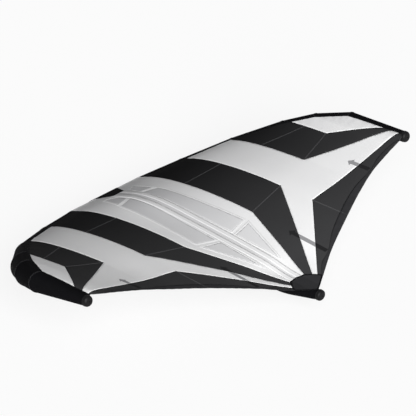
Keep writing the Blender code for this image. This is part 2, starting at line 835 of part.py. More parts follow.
def make_strut():
    outer = [strut_ring(y) for y in strut_places()]
    inner = [strut_ring(y, -sleeve_thickness) for y in strut_places()]
    sleeve = add_part("strut_sleeve", loft_mesh("strut_sleeve", outer + inner[::-1], True),
                      BLACK_DACRON)
    boolean(sleeve, le_clearance)
    boolean(sleeve, strut_port)
    behind = le_axis()[0][0].y - le_axis()[0][1] - bladder_setback
    start = bladder_setback
    places = [y for y in strip_places() if start + mesh_step / 4 < y < behind - mesh_step / 4]
    places = [start, *places, behind]
    extra = -sleeve_thickness - gap
    rings = [strut_ring(y, extra)[::2] for y in places]
    bladder = add_part("strut_bladder", loft_mesh("strut_bladder", rings), BLADDER_FILM)
    places[0] += bladder_thickness
    places[-1] -= bladder_thickness
    rings = [strut_ring(y, extra - bladder_thickness)[::2] for y in places]
    hollow = loft_mesh("hollow", rings)
    boolean(bladder, add_cutter("strut_bladder_hollow", hollow))
    boolean(bladder, strut_port)
    radius, level = strut_section(0)
    inside = (radius + gap) / math.cos(math.pi / strut_sides)
    mesh = turned_mesh("strut_end_cap", cap_profile(
        inside, end_cap_wall, end_cap_length, end_cap_skirt), strut_sides)
    mesh.transform(Matrix.Translation((0, -end_cap_lead, level))
                   @ Matrix.Rotation(math.pi / 2, 4, "X"))
    add_part("strut_end_cap", mesh, MOULDED_NYLON)


def surface_frame(place, degrees):
    """Frame on the middle panel of the leading edge: +X to starboard, +Z away from the tube"""
    centre, radius = le_axis()[0]
    angle = math.radians(degrees)
    outward = Vector((0, math.cos(angle), math.sin(angle)))
    across = outward.cross(Vector((1, 0, 0)))
    frame = Matrix((Vector((1, 0, 0)), across, outward)).transposed().to_4x4()
    frame.translation = Vector((place, centre.y, centre.z)) + outward * radius
    return frame


def strut_side_frame():
    """Frame on the port side of the strut where the air hose ends, +Z away from the strut"""
    place = root_length - hose_setback
    radius, level = strut_section(place)
    outward = Vector((-1, 0, 0))
    forward = Vector((0, 1, 0))
    frame = Matrix((outward.cross(forward), -forward, outward)).transposed().to_4x4()
    frame.translation = Vector((-radius, place, level))
    return frame


def make_port(name, frame, radius):
    mesh = cylinder_mesh(name, radius, -overrun - valve_depth, overrun)
    mesh.transform(frame)
    return add_cutter(name, mesh)


def rounded_path(corners, radius, steps=4):
    """A path through corners, each turned on an arc"""
    path = [Vector(corners[0])]
    for before, corner, after in zip(corners, corners[1:], corners[2:]):
        before, corner, after = Vector(before), Vector(corner), Vector(after)
        back = (before - corner).normalized()
        ahead = (after - corner).normalized()
        half = back.angle(ahead) / 2
        centre = corner + (back + ahead).normalized() * (radius / math.sin(half))
        start = corner + back * (radius / math.tan(half))
        end = corner + ahead * (radius / math.tan(half))
        first, last = (start - centre).normalized(), (end - centre).normalized()
        for i in range(steps + 1):
            path.append(centre + first.slerp(last, i / steps) * radius)
    path.append(Vector(corners[-1]))
    return path


def tube_curve(name, path, radius, resolution=2):
    curve = bpy.data.curves.new(name, "CURVE")
    curve.dimensions = "3D"
    curve.bevel_depth = radius
    curve.bevel_resolution = resolution
    curve.use_fill_caps = True
    spline = curve.splines.new("POLY")
    spline.points.add(len(path) - 1)
    for point, place in zip(spline.points, path):
        point.co = (*place, 1)
    spline.use_smooth = True
    return curve


def curve_to_mesh(name, curve):
    """Turn a curve into a closed mesh, so that other shapes can be joined to it"""
    helper = bpy.data.objects.new(name, curve)
    wing.objects.link(helper)
    evaluated = helper.evaluated_get(bpy.context.evaluated_depsgraph_get())
    mesh = bpy.data.meshes.new_from_object(evaluated)
    bpy.data.objects.remove(helper)
    bm = bmesh.new()
    bm.from_mesh(mesh)
    bmesh.ops.remove_doubles(bm, verts=bm.verts, dist=gap / 3)
    bm.to_mesh(mesh)
    bm.free()
    mesh.name = name
    return mesh


def handle_levels(place, reach):
    """Heights of a handle: underside of its saddle, and middle of its grip"""
    sections = [strut_section(place + end) for end in (-reach, reach)]
    underside = min(level - radius for radius, level in sections) - gap - saddle_thickness
    return underside, underside - gap - finger_gap - grip_radius


def make_handle(place_name):
    """A foam grip on a bent bar, whose two feet stand on a saddle under the strut"""
    place = root_length * handle_shares[place_name]
    grip_length = grip_lengths[place_name]
    leg = grip_length / 2 + bar_overhang
    saddle_half = leg + saddle_overhang
    underside, grip_level = handle_levels(place, saddle_half)
    if place_name == "rear":
        grip_level = grip_radius
    low = (-saddle_width / 2, place - saddle_half, underside)
    high = (saddle_width / 2, place + saddle_half, underside + saddle_rise)
    saddle = add_part(f"{place_name}_handle_saddle", box_mesh("saddle", low, high),
                      MOULDED_NYLON)
    corners = saddle.modifiers.new("corners", "BEVEL")
    corners.width = saddle_corner
    corners.segments = 4
    corners.limit_method = "WEIGHT"
    weights = saddle.data.attributes.new("bevel_weight_edge", "FLOAT", "EDGE")
    for edge in saddle.data.edges:
        a, b = (saddle.data.vertices[i].co for i in edge.vertices)
        weights.data[edge.index].value = 1 if abs(a.z - b.z) > saddle_rise / 2 else 0
    boolean(saddle, strut_clearance)

    foot_top = underside - gap
    path = rounded_path([(0, place - leg, foot_top), (0, place - leg, grip_level),
                         (0, place + leg, grip_level), (0, place + leg, foot_top)], bar_bend)
    name = f"{place_name}_handle_bar"
    bar = add_part(name, curve_to_mesh(name, tube_curve(name, path, bar_radius)), HANDLE_TUBE)
    smooth(bar.data)
    for end, y in (("rear", place - leg), ("front", place + leg)):
        bm = bmesh.new()
        bmesh.ops.create_cone(bm, cap_ends=True, segments=20, radius1=bar_radius * foot_neck_share,
                              radius2=foot_radius, depth=foot_height)
        bmesh.ops.translate(bm, verts=bm.verts, vec=(0, y, foot_top - foot_height / 2))
        foot = add_cutter(f"{name}_{end}_foot", finish_mesh("foot", bm))
        boolean(bar, foot, "UNION")

    to_corner = 1 / math.cos(math.pi / grip_sides)
    inner = (bar_radius + gap) * to_corner
    outer = grip_radius * to_corner
    half = grip_length / 2
    edge = (outer - inner) / 2
    profile = [(inner, half), (inner, -half), (outer - edge, -half), (outer, edge - half),
               (outer, half - edge), (outer - edge, half)]
    mesh = turned_mesh(f"{place_name}_handle_grip", profile, grip_sides)
    mesh.transform(Matrix.Translation((0, place, grip_level))
                   @ Matrix.Rotation(math.pi / 2, 4, "X"))
    add_part(f"{place_name}_handle_grip", mesh, EVA_FOAM)


def make_nose_handle():
    """Padded strap that arches off the lower front of the leading edge"""
    frame = surface_frame(0, nose_handle_degrees)
    seat = gap * 2 + patch_thickness
    half = nose_handle_length / 2
    reach = nose_handle_reach - nose_handle_radius
    top = half * nose_handle_top_share
    corners = [(-half, 0, seat), (-top, 0, reach), (top, 0, reach),
               (half, 0, seat)]
    path = [frame @ point for point in rounded_path(corners, nose_handle_reach / 2)]
    name = "nose_handle"
    mesh = curve_to_mesh(name, tube_curve(name, path, nose_handle_radius))
    strap = add_part(name, mesh, WEBBING)
    smooth(strap.data)
    trim = box_mesh("trim", (-nose_handle_length, -nose_handle_length / 4, -overrun),
                    (nose_handle_length, nose_handle_length / 4, seat))
    trim.transform(frame)
    boolean(strap, add_cutter("nose_handle_trim", trim))


def make_leash_loop():
    """Webbing loop sewn under the strut, with its hole across the wing"""
    outer = loop_hole / 2 + loop_webbing
    place = root_length - loop_setback
    sections = [strut_section(place + end) for end in (-outer, outer)]
    centre = min(level - radius for radius, level in sections) - gap - outer
    steps = 12
    outline = []
    for size, top in ((outer, outer), (loop_hole / 2, loop_hole / 2)):
        line = [(size * math.cos(a), size * math.sin(a))
                for a in (-math.pi * i / steps for i in range(steps + 1))]
        outline.append([(size, top)] + line + [(-size, top)])
    rings = []
    for x, points in ((-1, outline[0]), (1, outline[0]), (1, outline[1]), (-1, outline[1])):
        rings.append([(x * loop_width / 2, place + a, centre + b) for a, b in points])
    add_part("leash_loop", loft_mesh("leash_loop", rings, closed=True), WEBBING)


def make_valve():
    """Inflation valve: body with a hinged cap and a sprung non-return pin"""
    frame = surface_frame(valve_place, 180)
    flange_top = gap + valve_flange_thickness
    body_profile = [
        (valve_bore, valve_rim), (valve_barrel, valve_rim), (valve_barrel, flange_top),
        (valve_flange, flange_top), (valve_flange, gap), (valve_barrel, gap),
        (valve_barrel, -valve_depth), (valve_seat, -valve_depth),
        (valve_seat, valve_seat_thickness - valve_depth),
        (valve_bore, valve_seat_thickness - valve_depth)]
    body = add_part("valve_body", turned_mesh("valve_body", body_profile, valve_turns),
                    MOULDED_NYLON)
    body.matrix_basis = frame
    half_bridge = (valve_bore + valve_barrel) / 2
    additions = {"valve_bridge": box_mesh(
        "bridge", (-half_bridge, -bridge_width / 2, bridge_level - bridge_thickness / 2),
        (half_bridge, bridge_width / 2, bridge_level + bridge_thickness / 2))}
    inner_ear = knuckle_half_length + gap
    beside_cap = cap_radius + gap * 2
    ear_end = hinge_offset + knuckle_radius
    ear_section = [(half_bridge, gap * 2), (ear_end, gap * 2),
                   (ear_end, hinge_level + knuckle_radius),
                   (beside_cap, hinge_level + knuckle_radius), (beside_cap, valve_rim - gap),
                   (half_bridge, valve_rim - gap)]
    for ear, sign in (("port", -1), ("starboard", 1)):
        additions[f"valve_ear_{ear}"] = extruded(
            ear, ear_section, sign * inner_ear, sign * (inner_ear + ear_thickness))
    for name, mesh in additions.items():
        tool = add_cutter(name, mesh)
        tool.matrix_basis = frame
        boolean(body, tool, "UNION")
    reach = inner_ear + ear_thickness / 2
    pin_mesh = cylinder_mesh("hinge_pin", hinge_pin, -reach, reach, 12)
    pin_mesh.transform(Matrix.Translation((0, hinge_offset, hinge_level))
                       @ Matrix.Rotation(math.pi / 2, 4, "Y"))
    hinge = add_cutter("valve_hinge_pin", pin_mesh)
    hinge.matrix_basis = frame
    boolean(body, hinge, "UNION")
    hole = add_cutter("valve_pin_hole", cylinder_mesh(
        "pin_hole", pin_radius + gap, bridge_level - bridge_thickness,
        bridge_level + bridge_thickness, 12))
    hole.matrix_basis = frame
    boolean(body, hole)

    disc_top = -valve_depth - gap
    pin_profile = [
        (0, pin_button_top), (pin_button, pin_button_top),
        (pin_button, pin_button_top - pin_radius), (pin_radius, pin_button_top - pin_radius),
        (pin_radius, disc_top), (pin_disc, disc_top), (pin_disc, disc_top - pin_disc_thickness),
        (0, disc_top - pin_disc_thickness)]
    pin = add_part("valve_pin", spun_mesh("valve_pin", pin_profile, 12), HOSE_RUBBER)
    pin.matrix_basis = frame

    plate = valve_rim + gap
    top = plate + cap_thickness
    cap_profile_points = [
        (0, top), (cap_radius - cap_thickness / 2, top), (cap_radius, top - cap_thickness / 2),
        (cap_radius, plate), (cap_plug, plate), (cap_plug, plate - cap_plug_depth),
        (cap_plug - cap_plug_wall, plate - cap_plug_depth), (cap_plug - cap_plug_wall, plate),
        (0, plate)]
    hinge_frame = frame @ Matrix.Translation((0, hinge_offset, hinge_level))
    to_hinge = Matrix.Translation((0, -hinge_offset, -hinge_level))
    mesh = spun_mesh("valve_cap", cap_profile_points, valve_turns)
    mesh.transform(to_hinge)
    cap = add_part("valve_cap", mesh, HOSE_RUBBER)
    cap.matrix_basis = hinge_frame
    knuckle = cylinder_mesh("knuckle", knuckle_radius, -knuckle_half_length,
                            knuckle_half_length, 16)
    knuckle.transform(Matrix.Rotation(math.pi / 2, 4, "Y"))
    arm = box_mesh("arm", (-knuckle_half_length, cap_radius - cap_thickness - hinge_offset,
                           plate - hinge_level),
                   (knuckle_half_length, 0, knuckle_radius * cap_arm_share))
    bore = cylinder_mesh("knuckle_bore", hinge_pin + gap, -knuckle_half_length - overrun,
                         knuckle_half_length + overrun, 16)
    bore.transform(Matrix.Rotation(math.pi / 2, 4, "Y"))
    for name, tool_mesh, operation in (("cap_arm", arm, "UNION"), ("cap_knuckle", knuckle, "UNION"),
                                       ("cap_knuckle_bore", bore, "DIFFERENCE")):
        tool = add_cutter(name, tool_mesh)
        tool.matrix_basis = hinge_frame
        boolean(cap, tool, operation)


def spun_mesh(name, profile, sides):
    """A turned piece whose profile starts and ends on the axis"""
    bm = bmesh.new()
    verts = [bm.verts.new((radius, 0, level)) for radius, level in profile]
    edges = [bm.edges.new(pair) for pair in zip(verts, verts[1:])]
    bmesh.ops.spin(bm, geom=verts + edges, axis=(0, 0, 1), cent=(0, 0, 0), angle=math.tau,
                   steps=sides)
    bmesh.ops.remove_doubles(bm, verts=bm.verts, dist=gap / 10)
    return finish_mesh(name, bm)


def make_hose():
    """Air hose from the leading edge to the strut, with a flanged fitting at each end"""
    ends = (surface_frame(hose_place, hose_degrees), strut_side_frame())
    seat = gap * 2 + fitting_flange_thickness
    start, end = (frame @ Vector((0, 0, seat)) for frame in ends)
    path = [start]
    lean = [frame.to_3x3() @ Vector((0, 0, hose_reach)) for frame in ends]
    stub = fitting_height / hose_reach
    tail = end
    start, end = start + lean[0] * stub, end + lean[1] * stub
    for i in range(hose_points + 1):
        t = i / hose_points
        path.append(start * (1 - t) ** 3 + (start + lean[0]) * 3 * t * (1 - t) ** 2
                    + (end + lean[1]) * 3 * t ** 2 * (1 - t) + end * t ** 3)
    path.append(tail)
    add_part("air_hose", tube_curve("air_hose", path, hose_radius), HOSE_RUBBER)
    for place, frame in zip(("le", "strut"), ends):
        top = gap + fitting_flange_thickness
        bore = hose_radius + gap * 2
        profile = [(fitting_bore, top), (fitting_bore, gap), (fitting_flange, gap),
                   (fitting_flange, top), (fitting_collar, top),
                   (fitting_collar, fitting_height), (bore, fitting_height), (bore, top)]
        mesh = turned_mesh("fitting", profile, fitting_sides)
        mesh.transform(frame)
        add_part(f"hose_fitting_{place}", mesh, MOULDED_NYLON)


def extruded(name, section, start, end):
    """A section of across and up, run along X"""
    return loft_mesh(name, [[(x, a, b) for a, b in section] for x in (start, end)])


def make_zip():
    """Service zip along the middle panel, and the slider that runs on it"""
    frame = surface_frame(0, zip_degrees)
    zip_length = 2 * half_width * le_corner_shares[0][0] * zip_share
    tape = zip_tape_width / 2
    coil = zip_coil_width / 2
    tape_top = gap + zip_tape_thickness
    coil_top = tape_top + zip_coil_height
    crown = coil * zip_crown_share
    section = [(-tape, gap), (tape, gap), (tape, tape_top), (coil, tape_top),
               (crown, coil_top), (-crown, coil_top), (-coil, tape_top),
               (-tape, tape_top)]
    zipper = add_part("le_zip", extruded("le_zip", section, -zip_length / 2, zip_length / 2),
                      WEBBING)
    zipper.matrix_basis = frame
    slider_end = zip_length / 2 - slider_end_margin
    low = tape_top + gap
    channel = coil + slider_clearance
    roof = coil_top + slider_clearance
    half = slider_width / 2
    section = [(-half, low), (-channel, low), (-channel, roof), (channel, roof),
               (channel, low), (half, low), (half, roof + slider_roof),
               (-half, roof + slider_roof)]
    slider = add_part("zip_slider", extruded("zip_slider", section, -slider_length, 0),
                      MOULDED_NYLON)
    slider.matrix_basis = frame @ Matrix.Translation((slider_end, 0, 0))
    tab = box_mesh("tab", (-slider_length / 2 - tab_length, -tab_width / 2,
                           roof + slider_roof / 2),
                   (-slider_length / 3, tab_width / 2, roof + slider_roof / 2 + tab_thickness))
    tool = add_cutter("slider_tab", tab)
    tool.matrix_basis = slider.matrix_basis
    boolean(slider, tool, "UNION")


def settle():
    """Put the origin on the ground under the middle of the wing's box"""
    graph = bpy.context.evaluated_depsgraph_get()
    points = []
    for part in wing.objects:
        shape = part.evaluated_get(graph)
        points += [shape.matrix_world @ vert.co for vert in shape.to_mesh().vertices]
        shape.to_mesh_clear()
    lows = [min(point[i] for point in points) for i in range(3)]
    highs = [max(point[i] for point in points) for i in range(3)]
    airframe.location = (-(lows[0] + highs[0]) / 2, -(lows[1] + highs[1]) / 2, -lows[2])


for existing in list(bpy.data.objects):
    bpy.data.objects.remove(existing)
wing = make_collection("wingfoil_wing")
cutters = make_collection("cutters")
airframe = bpy.data.objects.new("airframe", None)
wing_root = make_collection("frames")
wing_root.objects.link(airframe)

canopy_edge_points = canopy_edge()
strut_table = strut_rows()
le_clearance = add_cutter("le_clearance", loft_mesh(
    "le_clearance", [mirrored(le_ring(0, gap), side) for side in (-1, 1)]))
strut_clearance = add_cutter("strut_clearance", loft_mesh(
    "strut_clearance", [strut_ring(y, gap) for y in strut_places()]))
valve_port = make_port("valve_port", surface_frame(valve_place, 180),
                       valve_barrel + port_clearance)
hose_port = make_port("hose_port", surface_frame(hose_place, hose_degrees), fitting_bore)
strut_port = make_port("strut_port", strut_side_frame(), fitting_bore)

make_le_centre()
make_strut()
make_strip()
for side, hand in ((1, "right"), (-1, "left")):
    make_leading_edge(side, hand)
    make_canopy(side, hand)
    make_trailing_band(side, hand)
    make_battens(side, hand)
make_nose_patch()
make_tail_patch()
for place_name in handle_shares:
    make_handle(place_name)
make_nose_handle()
make_leash_loop()
make_valve()
make_hose()
make_zip()
settle()
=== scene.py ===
import json
import math

import bmesh
import bpy
import numpy as np
from mathutils import Matrix, Vector
from mathutils.geometry import delaunay_2d_cdt

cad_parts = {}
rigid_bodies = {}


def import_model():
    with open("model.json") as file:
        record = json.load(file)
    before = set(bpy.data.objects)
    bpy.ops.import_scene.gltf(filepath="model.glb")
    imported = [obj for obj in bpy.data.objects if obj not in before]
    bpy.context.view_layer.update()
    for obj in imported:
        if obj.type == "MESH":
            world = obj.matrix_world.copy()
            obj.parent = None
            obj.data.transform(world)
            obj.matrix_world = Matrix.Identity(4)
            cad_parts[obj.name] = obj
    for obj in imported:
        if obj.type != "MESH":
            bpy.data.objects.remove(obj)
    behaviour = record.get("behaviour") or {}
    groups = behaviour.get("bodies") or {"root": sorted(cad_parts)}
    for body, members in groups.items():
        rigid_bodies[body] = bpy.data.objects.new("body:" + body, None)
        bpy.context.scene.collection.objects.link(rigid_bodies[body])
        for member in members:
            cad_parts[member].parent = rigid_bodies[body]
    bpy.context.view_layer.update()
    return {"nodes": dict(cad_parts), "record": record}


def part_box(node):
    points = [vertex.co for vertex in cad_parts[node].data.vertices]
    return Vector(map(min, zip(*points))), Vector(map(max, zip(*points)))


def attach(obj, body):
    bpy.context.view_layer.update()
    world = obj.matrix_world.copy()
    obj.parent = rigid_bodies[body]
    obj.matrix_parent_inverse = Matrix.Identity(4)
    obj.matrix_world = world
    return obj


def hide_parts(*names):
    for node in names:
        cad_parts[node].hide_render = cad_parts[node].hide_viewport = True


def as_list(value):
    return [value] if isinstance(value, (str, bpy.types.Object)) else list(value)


for existing in list(bpy.data.objects):
    bpy.data.objects.remove(existing)
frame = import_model()

# ---- The wing's shape, in the part's own sizes. Here the canopy's tail is at y = 0, and every
# piece is moved into the frame when it is made.
half_width = 1.407            # centre plane to the middle of the tip tube
root_length = 1.762           # tail to the middle line of the leading edge tube
tip_rise = 0.402
tail_height = 0.207
trailing_rise = 0.325
canopy_thickness = 0.001
gap = 0.0003
le_radius = 0.096
le_facets = 24                # flat sides of the part's tube
# Corners of the tube's middle line: place, height and radius as shares
le_corner_shares = (
    (0.211, 1, 0, 0.990), (0.427, 0.957, 0.100, 1), (0.652, 0.880, 0.285, 1),
    (0.820, 0.763, 0.558, 0.958), (0.912, 0.677, 0.730, 0.844), (0.985, 0.569, 0.872, 0.667),
    (1, 0.324, 1, 0.344),
)
canopy_seat_degrees = (22.5, 17, 7, -6, -14, -22, -36)
trailing_shares = (
    (0, 0, 0), (0.131, 0.065, 0.105), (0.216, 0.104, 0.204),
    (0.294, 0.135, 0.289), (0.392, 0.170, 0.397), (0.490, 0.205, 0.496),
    (0.589, 0.239, 0.586), (0.719, 0.274, 0.731), (0.850, 0.291, 0.890),
    (0.948, 0.303, 1), (0.986, 0.333, 0.980),
)
camber_shares = ((0, 0.0622), (0.213, 0.0537), (0.428, 0.0484), (0.631, 0.0345),
                 (0.823, 0.011), (0.92, 0.006), (1, 0))
camber_form_shares = ((0, 0), (0.08, 0.47), (0.18, 0.80), (0.30, 0.97), (0.40, 1),
                      (0.55, 0.89), (0.75, 0.50), (1, 0))
strut_form_shares = ((0, 0), (0.08, 0.49), (0.16, 0.85), (0.26, 1), (0.43, 0.85),
                     (0.62, 0.62), (0.77, 0.40), (0.87, 0.115), (1, 0))
seam_shares = (0.2135, 0.4277, 0.631, 0.8234)
kink_shares = ((0.2139, 0.4735), (0.4284, 0.4975), (0.6305, 0.5377), (0.8228, 0.5717))
trailing_kink_shares = (0.4317, 0.3487)
tip_seam_shares = (0.398, 0.364, 0.337)
tail_reach = 0.148
strip_half_width = 0.042
window_shares = {
    "window_front": ((0.072, 0.884), (0.436, 0.874), (0.344, 0.957), (0.213, 0.954),
                     (0.072, 0.921)),
    "window_middle": ((0.034, 0.872), (0.110, 0.449), (0.654, 0.468), (0.480, 0.857)),
    "window_rear": ((0.088, 0.4265), (0.132, 0.2245), (0.638, 0.441)),
}
band_width = 0.062
band_shares = ((0.09, 0.25), (0.15, 0.6), (0.216, 0.32), (0.33, 0.85), (0.47, 1),
               (0.60, 0.85), (0.719, 0.32), (0.80, 0.6), (0.88, 0.5), (0.93, 0.3))
batten_shares = {"inner": (0.2165, 0.196), "outer": (0.7205, 0.118)}   # place, pocket's length
batten_to_band = 0.010
pocket_width = 0.029
arrow_width = 0.060
arrow_length = 0.036
nose_patch_half_width = 0.046
nose_patch_spread = 0.46      # how much wider it gets as it runs forward
nose_patch_flare = 0.165
nose_patch_setback = 0.110
tail_patch_length = 0.190
tail_patch_half_width = 0.125
tail_patch_shoulder_shares = ((0.48, 0.94), (0.78, 0.70), (0.98, 0.50))
strut_radius = 0.0736
strut_radius_shares = ((0, 0.45), (0.06, 0.62), (0.18, 0.92), (0.40, 1), (0.68, 1), (1, 0.94))
strut_row_count = 15
end_cap_lead = 0.014
end_cap_length = 0.018
tip_cap_length = 0.022
cap_skirt = 0.010
cap_wall = 0.0016
bar_radius = 0.0115
bar_bend = 0.026
foot_radius = 0.021
foot_height = 0.012
grip_radius = 0.0175
nose_handle_length = 0.240
nose_handle_reach = 0.046
nose_handle_radius = 0.0105
nose_handle_top_share = 0.72
nose_handle_degrees = -30     # round the tube from straight ahead
nose_handle_tail = 0.034
nose_handle_bends = (0.020, 0.023, 0.023, 0.020)   # radii at its corners
loop_setback = 0.262          # behind the middle of the leading edge
loop_width = 0.020
loop_hole = 0.016
loop_webbing = 0.0035
loop_tail = 0.062
loop_seat = 0.0021            # of its webbing's middle under the strut
loop_drop = 0.0118            # of its hole's middle
valve_place = 0.170           # to starboard of the middle
valve_degrees = 180
hose_radius = 0.006
hose_place = -0.125
hose_setback = 0.292
hose_degrees = 150
hose_reach = 0.055
fitting_height = 0.009
fitting_flange_thickness = 0.002
zip_share = 0.91              # of the middle panel's length
zip_degrees = -150
zip_tape_width = 0.022

# ---- Sizes of what only the looks need
sides = ((1, "right"), (-1, "left"))
cloth_step = 0.009            # spacing of points over the canopy
canopy_cloth = 0.0006
tape_cloth = 0.0004
patch_cloth = 0.0010
skirt_width = 0.0506          # black cloth that carries the canopy's front on the tube
skirt_shares = ((0.4277, 0.68), (0.60, 0.22), (1, 0.20))
hem_turn_shares = ((0, 14), (0.2135, 14), (0.4277, 7))   # degrees round the tube
hem_lap = 0.008
window_border = 0.011
strut_calm = 0.07             # beside the strut, where the canopy hardly puckers
seam_seat = 0.00015           # under a tape on the canopy
cross_tape_width = 0.009
strut_tape_width = 0.040
strut_tape_lift = 0.0005
patch_binding = 0.009
batten_stand = 0.0050         # how far a batten fills its pocket
pocket_drop = 0.0011          # of a pocket's seams under the canopy's top
pocket_hem = 0.002
pocket_slope = 0.0055         # from the hem in to where the pocket is full
pocket_mouth = 0.012          # the same from its rear end
arrow_slope = 0.014           # the same behind the flat point of its arrow, which is as long
band_stand = 0.0008           # of the trailing band over the canopy
band_wrap = 0.0022            # from its upper side to its lower
tube_sides = 96
seam_pinch = 0.0009           # how far a seam draws the tube in
seam_pinch_reach = 0.006
seam_ripple = 0.0006
seam_ripple_reach = 0.045
seam_ripples = 26             # round the tube
closing_seam_degrees = -112.5  # of the seam along the tube, from straight ahead
closing_tape_width = 0.012    # two of the tube's sides
tube_tape_width = 0.016       # of the tape round the tube at each corner
tube_lift = 0.0012            # of the outer side of cloth that lies on a tube
tape_lifts = (0.0004, 0.001, 0.0012, 0.001, 0.0004)   # over a tube, from edge to edge
tail_patch_lift = 0.0023
nose_patch_lift = 0.0026
nose_patch_wrap = (64, -40)   # degrees round the tube, up from straight ahead
strut_seam_degrees = -140     # from starboard, so low on the port side
strut_seam_tape_width = 0.014
stitch_length = 0.0055
thread_radius = 0.00035
sewing_step = 0.012           # between the points that a row of stitches is bent at
stitch_slant = 0.35           # radians, every other stitch the other way
# Rings of a stitch: place along it as a share, height and radius in radii of the thread
stitch_rings = ((-0.5, -1.0, 0.5), (-0.34, 0.3, 1), (0.34, 0.3, 1), (0.5, -1.0, 0.5))
seam_inset = 0.004            # from the edge of a patch or a strap to its stitches
seam_row = 0.003              # from a panel seam to the stitches beside it
cross_row = 0.0025
tube_row = 0.0045
zip_row = 0.0095
binding_rows = ((0.0045, 0.0009), (0.013, 0.0003))   # inset from the tail patch's edge, lift
# Rings of a screw's head: radius and height, from its rim into its socket
screw_rings = ((0.0040, 0), (0.0040, 0.0012), (0.0034, 0.0021), (0.0024, 0.0025),
               (0.0018, 0.0025), (0.0018, 0.0009))
strap_width = 0.025
strap_thickness = 0.0024
pad_width = 0.029
pad_thickness = 0.020
pad_share = 0.88              # of the strap's straight top
pad_end = 0.70                # of its full size, drawn together by its stitches
bar_bore = 0.0118             # of a grip, round its bar
groove_pitch = 0.018
groove_depth = 0.0011
groove_share = 0.16           # of the way to the next groove
groove_end = 0.008            # from the grip's end
grip_rounding = 0.0025, 0.004   # of a grip's ends, inwards and along it
zip_pitch = 0.0021            # of a real coil 1.5 mm, drawn wider so that it shows
zip_tooth_width = 0.0030
zip_tooth_height = 0.0019
zip_tooth_across = 0.00085    # each tooth lies this far to one side of the coil's middle

tube_middle = (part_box("le_sleeve_centre")[0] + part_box("le_sleeve_centre")[1]) / 2
to_frame = Vector((0, tube_middle.y - root_length, 0))


# ---- Tables

def at(rows, place, column=1):
    """Value of a table's column at places, on straight lines between its rows"""
    return np.interp(place, [row[0] for row in rows], [row[column] for row in rows])


def smooth_at(rows, place, column=1):
    """The same on a smooth curve through the rows, as the part draws it"""
    x = np.array([row[0] for row in rows], float)
    y = np.array([row[column] for row in rows], float)
    ahead = np.minimum(np.arange(len(x)) + 1, len(x) - 1)
    behind = np.maximum(np.arange(len(x)) - 1, 0)
    slope = (y[ahead] - y[behind]) / (x[ahead] - x[behind])
    place = np.asarray(place, float)
    i = np.clip(np.searchsorted(x, place) - 1, 0, len(x) - 2)
    width = x[i + 1] - x[i]
    t = np.clip((place - x[i]) / width, None, 1)
    return ((2 * t ** 3 - 3 * t ** 2 + 1) * y[i] + (t ** 3 - 2 * t ** 2 + t) * width * slope[i]
            + (3 * t ** 2 - 2 * t ** 3) * y[i + 1] + (t ** 3 - t ** 2) * width * slope[i + 1])


# ---- The leading edge tube's middle line, and the canopy's form over it

le_base = le_radius * le_corner_shares[0][3]
# Corners of the tube's middle line with its radius, and its ways inboard and outboard of each
le_corners = [(Vector((half_width * x, root_length * y, le_base + tip_rise * z)), le_radius * r)
              for x, y, z, r in le_corner_shares]
le_runs = [(b - a).normalized() for (a, _), (b, _) in zip(le_corners, le_corners[1:])]
le_ways = list(zip([Vector((1, 0, 0)), *le_runs], [*le_runs, le_runs[-1]]))


def cross_frame(direction):
    """Directions across a tube: level and away from the canopy, and up"""
    outward = Vector((0, 0, 1)).cross(direction).normalized()
    return outward, direction.cross(outward)


def canopy_edge():
    """Where the canopy leaves the tube: on the centre plane, then at each corner"""
    points = []
    for (centre, radius), (inboard, outboard), degrees in zip(
            le_corners, le_ways, canopy_seat_degrees):
        outward, upward = cross_frame((inboard + outboard).normalized())
        reach = radius / math.cos(math.pi / le_facets) + gap * 2 + canopy_thickness
        angle = math.radians(degrees)
        points.append(centre + reach * (math.sin(angle) * outward + math.cos(angle) * upward))
    points.insert(0, Vector((0, points[0].y, points[0].z)))
    return points


edge_rows = canopy_edge()
canopy_front = edge_rows[0].y


def front_at(x):
    return at(edge_rows, np.abs(x)), at(edge_rows, np.abs(x), 2)


def back_at(x):
    share = np.abs(x) / half_width
    return (root_length * smooth_at(trailing_shares, share),
            tail_height + trailing_rise * smooth_at(trailing_shares, share, 2))


def height(x, y):
    """Top of the taut canopy above the ground"""
    x = np.maximum(np.abs(np.asarray(x, float)), strip_half_width)
    front, front_height = front_at(x)
    back, back_height = back_at(x)
    chord = np.maximum(front - back, cloth_step * 9)
    run = (front - y) / chord
    inside = np.clip(run, 0, 1)
    form = smooth_at(camber_form_shares, inside)
    clear = half_width * seam_shares[0] - strip_half_width
    over_strut = np.clip(1 - (x - strip_half_width) / clear, 0, 1)
    form = form + over_strut * (smooth_at(strut_form_shares, inside) - form)
    depth = chord * smooth_at(camber_shares, x / half_width)
    return front_height + (back_height - front_height) * run + depth * form


# ---- Lines on the canopy's starboard side, seen from above

def spot(share):
    return np.array((half_width * share[0], root_length * share[1]))


def seam_front(index):
    x = half_width * seam_shares[index]
    return np.array((x, front_at(x)[0]))


def near_tail(kink):
    return kink / np.linalg.norm(kink) * tail_reach


def tip_point(index):
    y = root_length * tip_seam_shares[index]
    return np.array((at([(-p[1], p[0]) for p in edge_rows[-2:]], -y), y))


def divided(points, step, closed=True):
    """A line of straight runs with each run divided evenly"""
    result = []
    ends = points[1:] + points[:1] if closed else points[1:]
    for start, end in zip(points, ends):
        count = max(1, math.ceil(np.linalg.norm(end - start) / step))
        result += [start + (end - start) * i / count for i in range(count)]
    return result if closed else result + [points[-1]]


